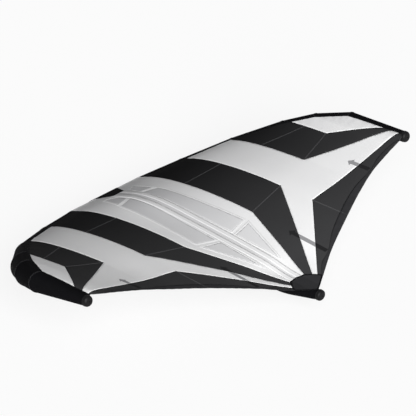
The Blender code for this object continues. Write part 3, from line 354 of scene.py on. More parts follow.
def inside_of(outline, points):
    """Which points lie inside an outline"""
    outline = np.asarray(outline)
    inside = np.zeros(len(points), bool)
    for a, b in zip(outline, np.roll(outline, -1, axis=0)):
        if a[1] != b[1]:
            crosses = (a[1] > points[:, 1]) != (b[1] > points[:, 1])
            crossing = a[0] + (points[:, 1] - a[1]) / (b[1] - a[1]) * (b[0] - a[0])
            inside ^= crosses & (points[:, 0] < crossing)
    return inside


def nearest_on(line, points, closed=False):
    """Least distance from points to a line of straight runs, and how far along it that is"""
    line = np.asarray(line)
    ends = np.roll(line, -1, axis=0) if closed else line[1:]
    distance = np.full(len(points), np.inf)
    along = np.zeros(len(points))
    start = 0.0
    for a, b in zip(line, ends):
        edge = b - a
        length = np.linalg.norm(edge)
        t = np.clip((points - a) @ edge / length ** 2, 0, 1)
        away = np.linalg.norm(points - a - t[:, None] * edge, axis=1)
        closer = away < distance
        along[closer] = start + t[closer] * length
        distance[closer] = away[closer]
        start += length
    return distance, along


def unit(rows):
    """Rows of vectors, each at length 1"""
    return rows / np.linalg.norm(rows, axis=1)[:, None]


def runs_along(points):
    """How far along a line each of its points is"""
    steps = np.linalg.norm(np.diff(np.array(points, float), axis=0), axis=1)
    return np.concatenate([[0], np.cumsum(steps)])


def circle(count):
    """Angles of evenly spaced points round a circle"""
    return np.arange(count) / count * math.tau


front_a, front_b, front_c, front_d = (seam_front(i) for i in range(4))
kink_a, kink_b, kink_c, kink_d = (spot(kink) for kink in kink_shares)
kink_e = spot(trailing_kink_shares)
tip_d, tip_c, tip_e = (tip_point(i) for i in range(3))
tail_a, tail_b, tail_e = (near_tail(kink) for kink in (kink_a, kink_b, kink_e))
strip_tail = np.array((strip_half_width, tail_reach))
strip_nose = np.array((strip_half_width, canopy_front))
edge_points = [np.array(point[:2]) for point in edge_rows]
pane_run = front_a[0] - strip_half_width
windows = {name: [np.array((strip_half_width + pane_run * x, root_length * y))
                  for x, y in corners] for name, corners in window_shares.items()}
trailing_start = near_tail(spot(trailing_shares[1][:2]))[0]
trailing_xs = np.linspace(trailing_start, tip_e[0] - 0.02,
                          math.ceil((tip_e[0] - 0.02 - trailing_start) / 0.012) + 1)
trailing = [np.array(point) for point in zip(trailing_xs, back_at(trailing_xs)[0])]


def edge_between(start, end):
    return [p for p in edge_points if start < p[0] < end][::-1]


panel_outlines = {
    "canopy_centre": [strip_nose, strip_tail, tail_a, kink_a, front_a],
    "canopy_inner_band": [front_a, kink_a, tail_a, tail_b, kink_b, front_b],
    "canopy_main": [front_b, kink_b, tail_b, tail_e, kink_e, tip_e, tip_c, kink_c, front_c],
    "canopy_outer_band": [front_c, kink_c, tip_c, tip_d, kink_d, front_d,
                          *edge_between(front_c[0], front_d[0])],
    "canopy_tip": [front_d, kink_d, tip_d, *edge_between(front_d[0], tip_d[0])],
    "canopy_trailing": [tip_e, kink_e, tail_e, *trailing],
}
panel_slots = {name: "dark_ripstop" if name in (
    "canopy_inner_band", "canopy_outer_band", "canopy_trailing") else "pale_ripstop"
    for name in panel_outlines}
panel_slots.update({name: "window_film" for name in windows})
# Seams between panels, from front to rear or inboard to outboard. The dark panel lies on the
# left of a and c, and on the right of the others.
panel_seams = {
    "a": [front_a, kink_a, tail_a], "b": [front_b, kink_b, tail_b],
    "c": [front_c, kink_c, tip_c], "d": [front_d, kink_d, tip_d],
    "e": [tail_e, kink_e, tip_e],
}
# Seams within the dark panels, as places along the seams on each side
cross_seams = {
    "inner_front": [front_a + (kink_a - front_a) * 0.40, front_b + (kink_b - front_b) * 0.40],
    "inner_kink": [kink_a, kink_b],
    "outer_front": [front_c + (kink_c - front_c) * 0.42, front_d + (kink_d - front_d) * 0.42],
    "outer_kink": [kink_c, kink_d],
    "trailing_kink": [kink_e, np.array((kink_e[0] + 0.012, back_at(kink_e[0] + 0.012)[0]))],
}


def batten_rows():
    """Each batten's place along the span, and the rear and front ends of its pocket"""
    for x_share, length_share in batten_shares.values():
        x = half_width * x_share
        back = float(back_at(x)[0])
        band = band_width * float(at(band_shares, x_share))
        yield x, back + band + batten_to_band, back + root_length * length_share


def pocket_outline(x, rear, front):
    wide, head, neck = pocket_width / 2, arrow_width / 2, front - arrow_length
    return [np.array(p) for p in ((x - wide, rear), (x + wide, rear), (x + wide, neck),
                                  (x + head, neck), (x, front), (x - head, neck),
                                  (x - wide, neck))]


pockets = [pocket_outline(*row) for row in batten_rows()]

# Where cloth puckers: a line, the pucker's depth, how far it reaches and its wavelength
pucker_rows = (
    [(line, 0.0005, 0.020, 0.034) for line in panel_seams.values()]
    + [(line, 0.0003, 0.014, 0.027) for line in cross_seams.values()]
    + [(outline + outline[:1], 0.0004, 0.014, 0.026) for outline in windows.values()]
    + [(edge_points, 0.0011, 0.075, 0.062), (trailing[::6], 0.0012, 0.050, 0.071)]
)


def surface(x, y):
    """Top of the canopy with the puckers that its seams pull into it"""
    points = np.stack([np.abs(np.atleast_1d(x)), np.atleast_1d(y)], axis=-1)
    level = height(points[:, 0], points[:, 1])
    off_strut = 1 - np.exp(-(points[:, 0] / strut_calm) ** 2)
    for line, depth, reach, wave in pucker_rows:
        distance, along = nearest_on(line, points)
        wander = 2.2 * np.sin(along * math.tau / (wave * 5.3))
        level -= off_strut * depth * np.exp(-(distance / reach) ** 2) * (
            0.5 + 0.5 * np.sin(along * math.tau / wave + wander))
    return level


# ---- Materials

def linear(hex_colour):
    """Linear colour of an sRGB hex number"""
    values = [(hex_colour >> bits & 255) / 255 for bits in (16, 8, 0)]
    return tuple(v / 12.92 if v <= 0.04045 else ((v + 0.055) / 1.055) ** 2.4
                 for v in values) + (1,)


def add(tree, kind, inputs=None, **settings):
    """Add a node with its settings. An input is a value, or an output or a node to link from"""
    node = tree.nodes.new(kind)
    for key, value in settings.items():
        setattr(node, key, value)
    for key, value in (inputs or {}).items():
        if isinstance(value, bpy.types.Node):
            value = value.outputs[0]
        if isinstance(value, bpy.types.NodeSocket):
            tree.links.new(value, node.inputs[key])
        else:
            node.inputs[key].default_value = value
    return node


def begin_material(name, roughness, specular, **more):
    """A new material and its tree, with what is even over its surface"""
    material = bpy.data.materials.new(name)
    material.use_nodes = True
    shader = material.node_tree.nodes["Principled BSDF"]
    even = {"Roughness": roughness, "Specular IOR Level": specular, **more}
    for socket, value in even.items():
        shader.inputs[socket].default_value = value
    return material, material.node_tree


def finish_surface(material, share, low, high, relief, depth):
    """Colour from low to high by a share, and a bump whose relief of 1 is depth metres high.
    A colour is a hex number or another node's."""
    tree = material.node_tree
    shader = tree.nodes["Principled BSDF"]
    ends = [linear(end) if isinstance(end, int) else end for end in (low, high)]
    colour = add(tree, "ShaderNodeMix", {"Factor": share, 6: ends[0], 7: ends[1]},
                 data_type="RGBA")
    bump = add(tree, "ShaderNodeBump", {"Height": relief, "Distance": depth})
    tree.links.new(colour.outputs[2], shader.inputs["Base Color"])
    tree.links.new(bump.outputs[0], shader.inputs["Normal"])
    return material


def band_scale(spacing):
    """Scale of a wave texture whose bands are this far apart"""
    return math.tau / 20 / spacing


def between_threads(tree, place, spacing, width):
    """0 on a square grid of threads, 1 between them"""
    parts = add(tree, "ShaderNodeSeparateXYZ", {0: place})
    clear = []
    for axis in (0, 1):
        away = add(tree, "ShaderNodeMath", {0: parts.outputs[axis], 1: spacing / 2},
                   operation="PINGPONG")
        clear.append(add(tree, "ShaderNodeMapRange", {
            "Value": away, "From Min": width / 2, "From Max": width}))
    return add(tree, "ShaderNodeMath", {0: clear[0], 1: clear[1]}, operation="MINIMUM")


def painted_nose_shade(tree, share, rear, front):
    """Painted shade: thin cloth's colour darkens from the tail to the nose along Y, standing in
    for the shade toward the front of the wing and under it. Gives how far forward, and the colour
    at either end"""
    place = add(tree, "ShaderNodeTexCoord").outputs["Object"]
    forward = add(tree, "ShaderNodeMapRange", {
        "Value": add(tree, "ShaderNodeSeparateXYZ", {0: place}).outputs["Y"],
        "From Min": shade_from, "From Max": shade_to})
    ends = [add(tree, "ShaderNodeMix", {"Factor": share, 6: linear(low), 7: linear(high)},
                data_type="RGBA").outputs[2] for low, high in (rear, front)]
    return forward, *ends


def make_ripstop(name, rear, front, beneath):
    """Ripstop polyester: calendered plain weave, smooth and satin, with a thicker thread every 5
    mm each way that catches the light. Where a batten pocket lies under it, a darker shape is
    painted as the pocket's shade seen through the cloth, and the colour darkens from rear to front
    as painted shade."""
    material, tree = begin_material(name, 0.6, 0.006)
    place = add(tree, "ShaderNodeUVMap", uv_map="cloth")
    clear = between_threads(tree, place, 0.005, 0.0006)
    blots = add(tree, "ShaderNodeTexNoise", {"Vector": place, "Scale": 1 / 0.16})
    share = add(tree, "ShaderNodeMix", {"Factor": 0.3, "A": blots, "B": clear})
    # Painted shade: the rear colour darkens to the front colour toward the nose
    forward, rear_colour, shaded_front_colour = painted_nose_shade(tree, share, rear, front)
    colour = add(tree, "ShaderNodeMix", {"Factor": forward, 6: rear_colour, 7: shaded_front_colour},
                 data_type="RGBA").outputs[2]
    # Painted shade of a batten pocket seen through the cloth
    under = add(tree, "ShaderNodeAttribute", attribute_name="beneath").outputs["Fac"]
    weave = add(tree, "ShaderNodeTexNoise", {"Vector": place, "Scale": 1 / 0.0016})
    relief = add(tree, "ShaderNodeMath", {0: weave, 1: clear}, operation="SUBTRACT")
    return finish_surface(material, under, colour, beneath, relief, 0.00008)


def make_dacron(name, low, high):
    """Dacron: tightly woven polyester with a firm, matt finish and faint creases. Its weave is
    about 0.4 mm, drawn at 1.2 mm so that it shows."""
    material, tree = begin_material(name, 0.75, 0.012)
    place = add(tree, "ShaderNodeUVMap", uv_map="cloth")
    yarns = [add(tree, "ShaderNodeTexWave", {"Vector": place, "Scale": band_scale(0.0012)},
                 bands_direction=way).outputs["Fac"] for way in ("X", "Y")]
    weave = add(tree, "ShaderNodeMath", {0: yarns[0], 1: yarns[1]}, operation="MAXIMUM")
    blots, creases = (add(tree, "ShaderNodeTexNoise", {"Vector": place, "Scale": 1 / size})
                      for size in (0.07, 0.035))
    share = add(tree, "ShaderNodeMix", {"Factor": 0.35, "A": blots, "B": weave})
    relief = add(tree, "ShaderNodeMath", {0: creases, 1: 2.5, 2: weave},
                 operation="MULTIPLY_ADD")
    return finish_surface(material, share, low, high, relief, 0.00012)


def make_window_film():
    """Clear flexible film over a scrim of fine threads 12 mm apart: milky and smooth, and what is
    behind it shows faintly. Its colour darkens from the tail to the nose as painted shade"""
    material, tree = begin_material("window_film", 0.24, 0.12, Alpha=0.9)
    place = add(tree, "ShaderNodeUVMap", uv_map="cloth")
    clear = between_threads(tree, place, 0.012, 0.0008)
    blots = add(tree, "ShaderNodeTexNoise", {"Vector": place, "Scale": 1 / 0.11})
    share = add(tree, "ShaderNodeMix", {"Factor": 0.5, "A": blots, "B": clear})
    relief = add(tree, "ShaderNodeMath", {0: clear, 1: -1.0}, operation="MULTIPLY")
    return finish_surface(material, *painted_nose_shade(tree, share, (0xEBEBEC, 0xE5E5E6),
                                            (0xB5B5B7, 0xAFAFB1)), relief, 0.00006)


def make_solid(name, low, high, roughness, specular, size=0.0007, depth=0.00004, metallic=0):
    """A solid finish: one colour all through, with the fine texture that its making left"""
    material, tree = begin_material(name, roughness, specular, Metallic=metallic)
    place = add(tree, "ShaderNodeTexCoord").outputs["Object"]
    texture, blots = (add(tree, "ShaderNodeTexNoise", {"Vector": place, "Scale": 1 / wide})
                      for wide in (size, 0.02))
    share = add(tree, "ShaderNodeMix", {"Factor": 0.4, "A": blots, "B": texture})
    return finish_surface(material, share, low, high, texture, depth)


def make_wound_tube():
    """Composite tube wound from fibre at a slant and lacquered: satin, with faint bands 4 mm
    apart"""
    material, tree = begin_material("handle_tube", 0.32, 0.4)
    place = add(tree, "ShaderNodeTexCoord").outputs["Object"]
    turned = add(tree, "ShaderNodeMapping", {"Vector": place, "Rotation": (0.6, 0, 0.8)})
    bands = add(tree, "ShaderNodeTexWave", {"Vector": turned, "Scale": band_scale(0.004)},
                bands_direction="X").outputs["Fac"]
    fibres = add(tree, "ShaderNodeTexNoise", {"Vector": turned, "Scale": 1 / 0.001})
    share = add(tree, "ShaderNodeMix", {"Factor": 0.6, "A": fibres, "B": bands})
    return finish_surface(material, share, 0x161617, 0x242427, bands, 0.00002)


def make_foam():
    """Closed cell EVA foam: matt, with cut cells about 0.9 mm across"""
    material, tree = begin_material("eva_foam", 0.92, 0.1)
    place = add(tree, "ShaderNodeTexCoord").outputs["Object"]
    cells = add(tree, "ShaderNodeTexVoronoi", {"Vector": place, "Scale": 1 / 0.0009})
    return finish_surface(material, cells, 0x1E1E1F, 0x333335, cells, 0.00015)


def make_webbing():
    """Polyester webbing: thick ribs across the strap 1.6 mm apart, each a row of crossed yarn"""
    material, tree = begin_material("webbing", 0.8, 0.1)
    place = add(tree, "ShaderNodeUVMap", uv_map="cloth")
    ribs, yarns = (add(tree, "ShaderNodeTexWave", {"Vector": place, "Scale": band_scale(apart)},
                       bands_direction=way).outputs["Fac"]
                   for way, apart in (("X", 0.0016), ("Y", 0.0011)))
    weave = add(tree, "ShaderNodeMix", {"Factor": 0.75, "A": yarns, "B": ribs})
    return finish_surface(material, weave, 0x0D0D0E, 0x2B2B2E, weave, 0.0003)


def make_thread(name, low, high):
    """Bonded polyester thread: satin, with a fine twist"""
    material, tree = begin_material(name, 0.55, 0.2)
    place = add(tree, "ShaderNodeTexCoord").outputs["Object"]
    twist = add(tree, "ShaderNodeTexNoise", {"Vector": place, "Scale": 1 / 0.0012})
    return finish_surface(material, twist, low, high, twist, 0.00005)


shade_from, shade_to = -0.60, 0.75       # where the painted shade toward the nose starts and is full, along Y
materials = {
    # The tubes' cloth: black and matt, so that only its facets and creases show
    "black_dacron": make_dacron("black_dacron", 0x0A0A0B, 0x121214),
    # The same in dark grey, where cloth wears: it sets the edges and the tail off from the tubes
    "grey_dacron": make_dacron("grey_dacron", 0x2B2B2C, 0x373739),
    # The canopy's cloth, dyed charcoal or white, with painted shade that darkens it from its rear
    # colour to its front colour, and painted shade where a batten pocket lies under it
    "dark_ripstop": make_ripstop("dark_ripstop", (0x383839, 0x3D3D3E), (0x0D0D0E, 0x121213),
                                 0x252526),
    "pale_ripstop": make_ripstop("pale_ripstop", (0xE7E7E8, 0xEBEBEB), (0xC6C6C7, 0xCACACB),
                                 0x8E8E90),
    # Doubled cloth: a tone apart from the panels that it joins, with the same painted shade toward
    # the front
    "seam_ripstop": make_ripstop("seam_ripstop", (0x484849, 0x4E4E4F), (0x1C1C1D, 0x212122),
                                 0x252526),
    "border_ripstop": make_ripstop("border_ripstop", (0xE5E5E6, 0xE9E9E9),
                                   (0xC0C0C1, 0xC4C4C5), 0xA0A0A2),
    "seam_tape": make_ripstop("seam_tape", (0xD9D9DA, 0xDDDDDE), (0xB2B2B3, 0xB6B6B7), 0xA0A0A2),
    "window_film": make_window_film(),
    # Pultruded glass fibre: smooth and resin rich, greenish grey
    "batten_fibreglass": make_solid("batten_fibreglass", 0x6F706B, 0x85857F, 0.4, 0.5),
    # Injection moulded nylon: black, with the fine spark texture of its mould
    "moulded_nylon": make_solid("moulded_nylon", 0x0E0E0F, 0x151516, 0.5, 0.12),
    # Extruded rubber: dull black, coarser than the nylon
    "hose_rubber": make_solid("hose_rubber", 0x171718, 0x202021, 0.55, 0.2, 0.0011),
    # Cold headed stainless steel, tumbled: bright, with soft reflections
    "steel": make_solid("steel", 0xA9A9A6, 0xB8B8B6, 0.35, 0.5, 0.0004, 0.00001, 1),
    "handle_tube": make_wound_tube(),
    "eva_foam": make_foam(),
    "webbing": make_webbing(),
    "black_thread": make_thread("black_thread", 0x161617, 0x29292B),
    "grey_thread": make_thread("grey_thread", 0x3C3C3E, 0x58585A),
    "white_thread": make_thread("white_thread", 0xCACACA, 0xDEDEDE),
}
slot_of_finish = {"grey_dacron": "black_dacron", "border_ripstop": "pale_ripstop",
                  "seam_ripstop": "dark_ripstop", "black_thread": "webbing",
                  "grey_thread": "webbing", "white_thread": "seam_tape",
                  "steel": "moulded_nylon"}


# ---- Making pieces

def link(name, data):
    """A new object in the scene"""
    thing = bpy.data.objects.new(name, data)
    bpy.context.scene.collection.objects.link(thing)
    return thing


def make_piece(name, verts, faces, finish, nodes=(), uvs=None, sharp_degrees=40):
    """A piece from points in the wing's place, put in the frame and riding on the airframe"""
    mesh = bpy.data.meshes.new(name)
    points = np.asarray([tuple(v) for v in verts], float) + np.array(to_frame)
    mesh.from_pydata(points.tolist(), [], [tuple(face) for face in faces])
    if uvs is not None:
        layer = mesh.uv_layers.new(name="cloth")
        corners = np.zeros(len(mesh.loops), np.int32)
        mesh.loops.foreach_get("vertex_index", corners)
        layer.data.foreach_set("uv", np.asarray(uvs, np.float32)[corners].ravel())
    mesh.shade_smooth()
    mesh.set_sharp_from_angle(angle=math.radians(sharp_degrees))
    return keep(bpy.data.objects.new(name, mesh), finish, nodes)


def keep(piece, finish, nodes=()):
    """Put a finished mesh object in the scene with its finish, body and stand-ins"""
    if piece.name not in bpy.context.scene.collection.objects:
        bpy.context.scene.collection.objects.link(piece)
    piece.data.materials.clear()
    piece.data.materials.append(materials[finish])
    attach(piece, "airframe")
    slot_of_finish.get(finish, finish)
    if nodes:
        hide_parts(*nodes)
    return piece


def apply_modifiers(piece):
    """Turn what the piece's modifiers make into its plain mesh"""
    bpy.context.view_layer.update()
    graph = bpy.context.evaluated_depsgraph_get()
    mesh = bpy.data.meshes.new_from_object(piece.evaluated_get(graph))
    piece.modifiers.clear()
    old = piece.data
    piece.data = mesh
    bpy.data.meshes.remove(old)
    mesh.name = piece.name


def thicken(piece, thickness):
    """Give cloth its thickness behind the drawn side, as a closed mesh"""
    modifier = piece.modifiers.new("thickness", "SOLIDIFY")
    modifier.thickness = thickness
    modifier.offset = -1
    apply_modifiers(piece)
    return piece


def weld(piece):
    modifier = piece.modifiers.new("weld", "WELD")
    modifier.merge_threshold = gap / 15
    apply_modifiers(piece)
    return piece


def turn_outwards(piece, point, way):
    """Make the face nearest to a point look along a direction, and the rest with it"""
    point = Vector(point) + to_frame
    nearest = min(piece.data.polygons, key=lambda face: (face.center - point).length_squared)
    if nearest.normal.dot(Vector(way)) < 0:
        piece.data.flip_normals()
    return piece


def grid_faces(rows, columns):
    """Quads over a grid of points, row after row"""
    return [(r * columns + c, r * columns + c + 1, (r + 1) * columns + c + 1,
             (r + 1) * columns + c) for r in range(rows - 1) for c in range(columns - 1)]


def least_box(points):
    """Width and length of the smallest upright or turned rectangle round flat points"""
    best = None
    for degrees in range(90):
        turn = math.radians(degrees)
        way = np.array((math.cos(turn), math.sin(turn)))
        size = np.ptp(points @ way), np.ptp(points @ np.array((-way[1], way[0])))
        if best is None or size[0] * size[1] < best[0] * best[1]:
            best = size
    return sorted(best)


def declare_sheet(piece, width, length, area, pieces=()):
    """Work out the flat width that the cloth was cut to, which is then not kept. A panel with long
    arms is nested with others on its cloth, so it never takes more than three times its area."""
    wide = min(max(width, area / length), area * 3 / length)
    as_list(pieces)


# ---- Canopy cloth

def flat_mesh(lines, outer, step):
    """Even points inside an outline, with given lines on their edges, as points and faces.

    Each line is its points and whether its ends join.
    """
    points, edges = [], []
    for line, closed in lines:
        start, count = len(points), len(line)
        points.extend(line)
        edges.extend((start + i, start + (i + 1) % count)
                     for i in range(count if closed else count - 1))
    lows, highs = np.min(outer, axis=0), np.max(outer, axis=0)
    rows = np.arange(lows[1], highs[1], step * math.sqrt(3) / 2)
    columns = np.arange(lows[0], highs[0], step)
    grid = np.array([(x + step / 2 * (j % 2), y) for j, y in enumerate(rows) for x in columns])
    grid = grid[inside_of(outer, grid)]
    for line, closed in lines:
        grid = grid[nearest_on(line, grid, closed)[0] > step * 0.55]
    flat, _, faces, _, _, _ = delaunay_2d_cdt(
        [Vector(p) for p in [*points, *grid]], edges, [], 1, gap / 100)
    return np.array(flat), np.array(faces)


def cloth_mesh_points():
    """Fine points over the starboard side, with every seam, pane and pocket outline on them"""
    outer = [strip_nose, strip_tail, tail_a, tail_b, tail_e, *trailing, tip_e, tip_c, tip_d,
             *edge_between(strip_half_width, tip_d[0])]
    outer = divided(outer, cloth_step)
    lines = [(outer, True)]
    lines += [(divided(line, cloth_step, False), False) for line in panel_seams.values()]
    lines += [(divided(line, cloth_step), True) for line in [*windows.values(), *pockets]]
    return flat_mesh(lines, outer, cloth_step)


def make_canopy():
    """The canopy's panels and panes, cut from one fine mesh so that they meet along their seams"""
    flat, faces = cloth_mesh_points()
    level = surface(flat[:, 0], flat[:, 1])
    middles = flat[faces].mean(axis=1)
    outlines = {**windows, **panel_outlines}
    owner = np.full(len(faces), -1)
    for index, outline in enumerate(outlines.values()):
        owner[(owner < 0) & inside_of(outline, middles)] = index
    over_pocket = np.zeros(len(faces), bool)
    for outline in pockets:
        over_pocket |= inside_of(outline, middles)
    made = {}
    for side, hand in sides:
        for index, name in enumerate(outlines):
            chosen = owner == index
            used, local = np.unique(faces[chosen], return_inverse=True)
            local = local.reshape(-1, 3)[:, ::side]
            verts = np.column_stack([side * flat[used, 0], flat[used, 1], level[used]])
            full_name = f"{name}_{hand}"
            panel = make_piece(f"{full_name}_cloth", verts, local.tolist(), panel_slots[name],
                               [full_name], verts[:, :2])
            # Painted shade: faces over a batten pocket are marked to be drawn darker
            beneath = panel.data.attributes.new("beneath", "FLOAT", "FACE")
            beneath.data.foreach_set("value", over_pocket[chosen].astype(np.float32))
            area = sum(face.area for face in panel.data.polygons)
            thicken(panel, canopy_cloth)
            made[full_name] = (panel, *least_box(flat[used]), area)
    return made


def line_frames(points, closed):
    """Left of a flat line at each point, and how much further its edges are in a corner"""
    points = np.asarray(points, float)
    after = np.roll(points, -1, axis=0) - points
    before = points - np.roll(points, 1, axis=0)
    if not closed:
        after[-1], before[0] = before[-1], after[0]
    after, before = unit(after), unit(before)
    middle = unit(after + before)
    stretch = 1 / np.maximum((middle * after).sum(axis=1), 0.45)
    return np.column_stack([-middle[:, 1], middle[:, 0]]), stretch


def beside(line, offset, closed=False):
    """A flat line moved to its left by an offset"""
    left, stretch = line_frames(line, closed)
    return list(np.asarray(line) + left * (offset * stretch)[:, None])


def tape_on_canopy(line, offsets, side=1, closed=False, crown=0.0002, lift=0.0):
    """A strip of tape along a line on the canopy, as points, faces and flat coordinates.

    offsets are how far its edges lie to the left of the line, and crown lifts its middle.
    """
    points = np.array(divided([np.asarray(p, float) for p in line], cloth_step, closed))
    left, stretch = line_frames(points, closed)
    if closed:
        points, left, stretch = (np.concatenate([a, a[:1]]) for a in (points, left, stretch))
    shares = np.linspace(0, 1, 5)
    spread = offsets[0] + (offsets[1] - offsets[0]) * shares
    flat = points[:, None] + left[:, None] * (stretch[:, None] * spread)[:, :, None]
    flat = flat.reshape(-1, 2)
    level = surface(flat[:, 0], flat[:, 1]).reshape(len(points), -1)
    level += lift + seam_seat + tape_cloth + crown * (1 - (2 * shares - 1) ** 4)
    verts = np.column_stack([side * flat[:, 0], flat[:, 1], level.ravel()])
    faces = [face[::-side] for face in grid_faces(len(points), len(shares))]
    uvs = np.column_stack([np.repeat(runs_along(points), len(shares)),
                           np.tile(spread, len(points))])
    return verts, faces, uvs


def join_strips(name, strips, finish, sharp_degrees=40, nodes=(), outside=None,
                thickness=tape_cloth):
    """One piece of several strips of cloth. outside is a point on it and the way it looks"""
    verts, faces, uvs, start = [], [], [], 0
    for points, quads, flat in strips:
        verts += list(points)
        uvs += list(flat)
        faces += [tuple(i + start for i in quad) for quad in quads]
        start += len(points)
    piece = weld(make_piece(name, verts, faces, finish, nodes, uvs, sharp_degrees))
    if outside:
        turn_outwards(piece, *outside)
    return thicken(piece, thickness)


def turn_of(outline):
    """Above 0 for an outline that runs anticlockwise"""
    return sum(a[0] * b[1] - b[0] * a[1] for a, b in zip(outline, outline[1:] + outline[:1]))


def outward_offsets(outline, inner, outer):
    return (-outer, inner) if turn_of(outline) > 0 else (-inner, outer)


def strut_tape_line():
    """Middle of the pale tape that joins the strip over the strut to the canopy beside it"""
    ys = np.linspace(tail_patch_length * 0.9, canopy_front - nose_patch_setback + 0.012, 60)
    xs = np.interp(ys / ys[-1], (0, 0.45, 1), (0.027, 0.034, 0.033))
    return [np.array(p) for p in zip(xs, ys)]


def make_tapes():
    """Tapes over the seams in the dark panels, round the panes and beside the strut"""
    cross, border, strut = [], [], []
    half_cross, half_strut = cross_tape_width / 2, strut_tape_width / 2
    for side, _ in sides:
        cross += [tape_on_canopy(line, (-half_cross, half_cross), side)
                  for line in cross_seams.values()]
        border += [tape_on_canopy(outline, outward_offsets(outline, 0.002, window_border), side,
                                  True, 0.0001) for outline in windows.values()]
        strut.append(tape_on_canopy(strut_tape_line(), (-half_strut, half_strut), side,
                                    crown=0.0001, lift=strut_tape_lift))
    return {"cross": join_strips("cross_seam_tapes", cross, "seam_ripstop"),
            "border": join_strips("window_borders", border, "border_ripstop"),
            "strut": join_strips("strut_seam_tapes", strut, "border_ripstop")}


def make_strut_strip():
    """Cloth over the strut between the two halves of the canopy, with a seam down its middle"""
    ys = np.linspace(tail_reach, canopy_front, 190)
    shares = np.array((-1, -0.7, -0.4, -0.15, -0.06, 0, 0.06, 0.15, 0.4, 0.7, 1))
    xs, rows = (grid.ravel() for grid in np.meshgrid(shares * strip_half_width, ys))
    level = surface(xs, rows) - 0.0004 * np.exp(-(xs / 0.003) ** 2)
    verts = np.column_stack([xs, rows, level])
    piece = make_piece("strut_strip_cloth", verts, grid_faces(len(ys), len(shares)),
                       "seam_tape", ["strut_strip"], verts[:, :2])
    turn_outwards(piece, verts[0], (0, 0, 1))
    return thicken(piece, canopy_cloth)


def patch_on_canopy(name, outline, level_of, finish, nodes, way=(0, 0, 1)):
    """A patch cut to an outline. level_of gives the height of its outer side over the ground"""
    border = divided(outline, cloth_step * 0.6)
    flat, faces = flat_mesh([(border, True)], border, cloth_step * 0.6)
    verts = np.column_stack([flat, level_of(flat[:, 0], flat[:, 1])])
    piece = make_piece(name, verts, faces, finish, nodes, flat)
    return turn_outwards(piece, verts[0], way)


def tail_patch_outline():
    right = [(tail_patch_half_width * x, tail_patch_length * y)
             for x, y in tail_patch_shoulder_shares]
    right += [(x, float(back_at(x)[0])) for x in np.linspace(right[-1][0], 0, 8)[:-1]]
    left = [(-x, y) for x, y in right[::-1]]
    return [np.array(p) for p in [(0, tail_patch_length), *right, (0, 0), *left][::-1]]


def make_tail_patch():
    """Stiff patch over the tail, with a bound edge"""
    outline = tail_patch_outline()
    patch = patch_on_canopy("tail_patch_cloth", outline,
                            lambda x, y: surface(x, y) + tail_patch_lift, "grey_dacron",
                            ["tail_patch"])
    thicken(patch, patch_cloth)
    rim = join_strips("tail_patch_binding", [tape_on_canopy(
        outline, outward_offsets(outline, patch_binding, 0.001), closed=True,
        lift=tail_patch_lift)], "black_dacron")
    return patch, rim


def make_pockets(side, hand):
    """Cloth pockets under the canopy, flat where they are sewn and full over their battens"""
    made = []
    for place, outline, (x, rear, front) in zip(batten_shares, pockets, batten_rows()):
        def underside(xs, ys):
            inside = pocket_width / 2 - pocket_hem - np.abs(np.abs(xs) - x)
            full = np.clip(inside / pocket_slope, 0, 1)
            full *= np.clip((ys - rear) / pocket_mouth, 0, 1)
            full *= np.clip((front - ys) / arrow_slope - 1, 0, 1)
            return surface(xs, ys) - pocket_drop - batten_stand * full * full * (3 - 2 * full)
        mirrored = [p * (side, 1) for p in outline]
        piece = patch_on_canopy(f"batten_pocket_{place}_{hand}_cloth", mirrored, underside,
                                "black_dacron", [f"batten_pocket_{place}_{hand}"], (0, 0, -1))
        made.append(thicken(piece, tape_cloth))
    return made


def front_stations(low, high):
    """Along the canopy's front from low to high across the span: its edge, the tube's middle and
    radius, and the way round the tube"""
    middle, radius = le_corners[0]
    axis = [(Vector((0, *middle.yz)), radius), *le_corners]
    ways = [(a + b).normalized() for a, b in le_ways]
    ways.insert(0, ways[0])
    stations = []
    for i, (start, end) in enumerate(zip(edge_rows, edge_rows[1:])):
        count = math.ceil((end - start).length / 0.010)
        shares = {j / count for j in range(count + (i == len(edge_rows) - 2))}
        shares |= {(x - start.x) / (end.x - start.x) for x in (low, high) if start.x < x < end.x}
        for t in sorted(shares):
            point = start.lerp(end, t)
            if not low - gap / 100 <= point.x <= high + gap / 100:
                continue
            centre = axis[i][0].lerp(axis[i + 1][0], t)
            out = point - centre
            outward, upward = cross_frame(ways[i].lerp(ways[i + 1], t).normalized())
            angle = math.atan2(out.dot(outward), out.dot(upward))
            ahead = math.cos(angle) * outward - math.sin(angle) * upward
            radius = axis[i][1] + (axis[i + 1][1] - axis[i][1]) * t
            stations.append((point, centre, radius, ahead))
    return stations


def front_row(station, turns, lap, over):
    """Points across the cloth at the canopy's front: round the tube, then back over the canopy.

    turns are degrees ahead of the edge with the height over the tube as a share of the edge's.
    """
    point, centre, radius, ahead = station
    out = point - centre
    stand = out.length
    out.normalize()
    row = []
    for degrees, share in turns:
        angle = math.radians(degrees)
        reach = float(radius + tube_lift + (stand - radius + over - tube_lift) * share)
        row.append(centre + reach * (math.cos(angle) * out + math.sin(angle) * ahead))
    back = -ahead.xy.normalized()
    flat = [point.xy + back * (lap * share) for share in (0.15, 0.3, 0.5, 0.7, 0.85, 1.0)]
    levels = surface([p.x for p in flat], [p.y for p in flat])
    row += [Vector((*p, level + over)) for p, level in zip(flat, levels)]
    row[-1].z -= 0.0003
    row[0] -= (row[0] - centre).normalized() * 0.0006
    return row


def make_front_cloth(name, stations, rows, finish):
    """Cloth over the canopy's front on both sides, from the starboard side's rows of points"""
    across = runs_along(rows[0])
    uvs = [(station[0].x, station[0].y - v) for station in stations for v in across]
    quads = grid_faces(len(rows), len(across))
    strips = [([(side * p.x, p.y, p.z) for row in rows for p in row],
               [quad[::side] for quad in quads], uvs) for side, _ in sides]
    return join_strips(name, strips, finish, 60, outside=(rows[len(rows) // 2][8], (0, 0, 1)))


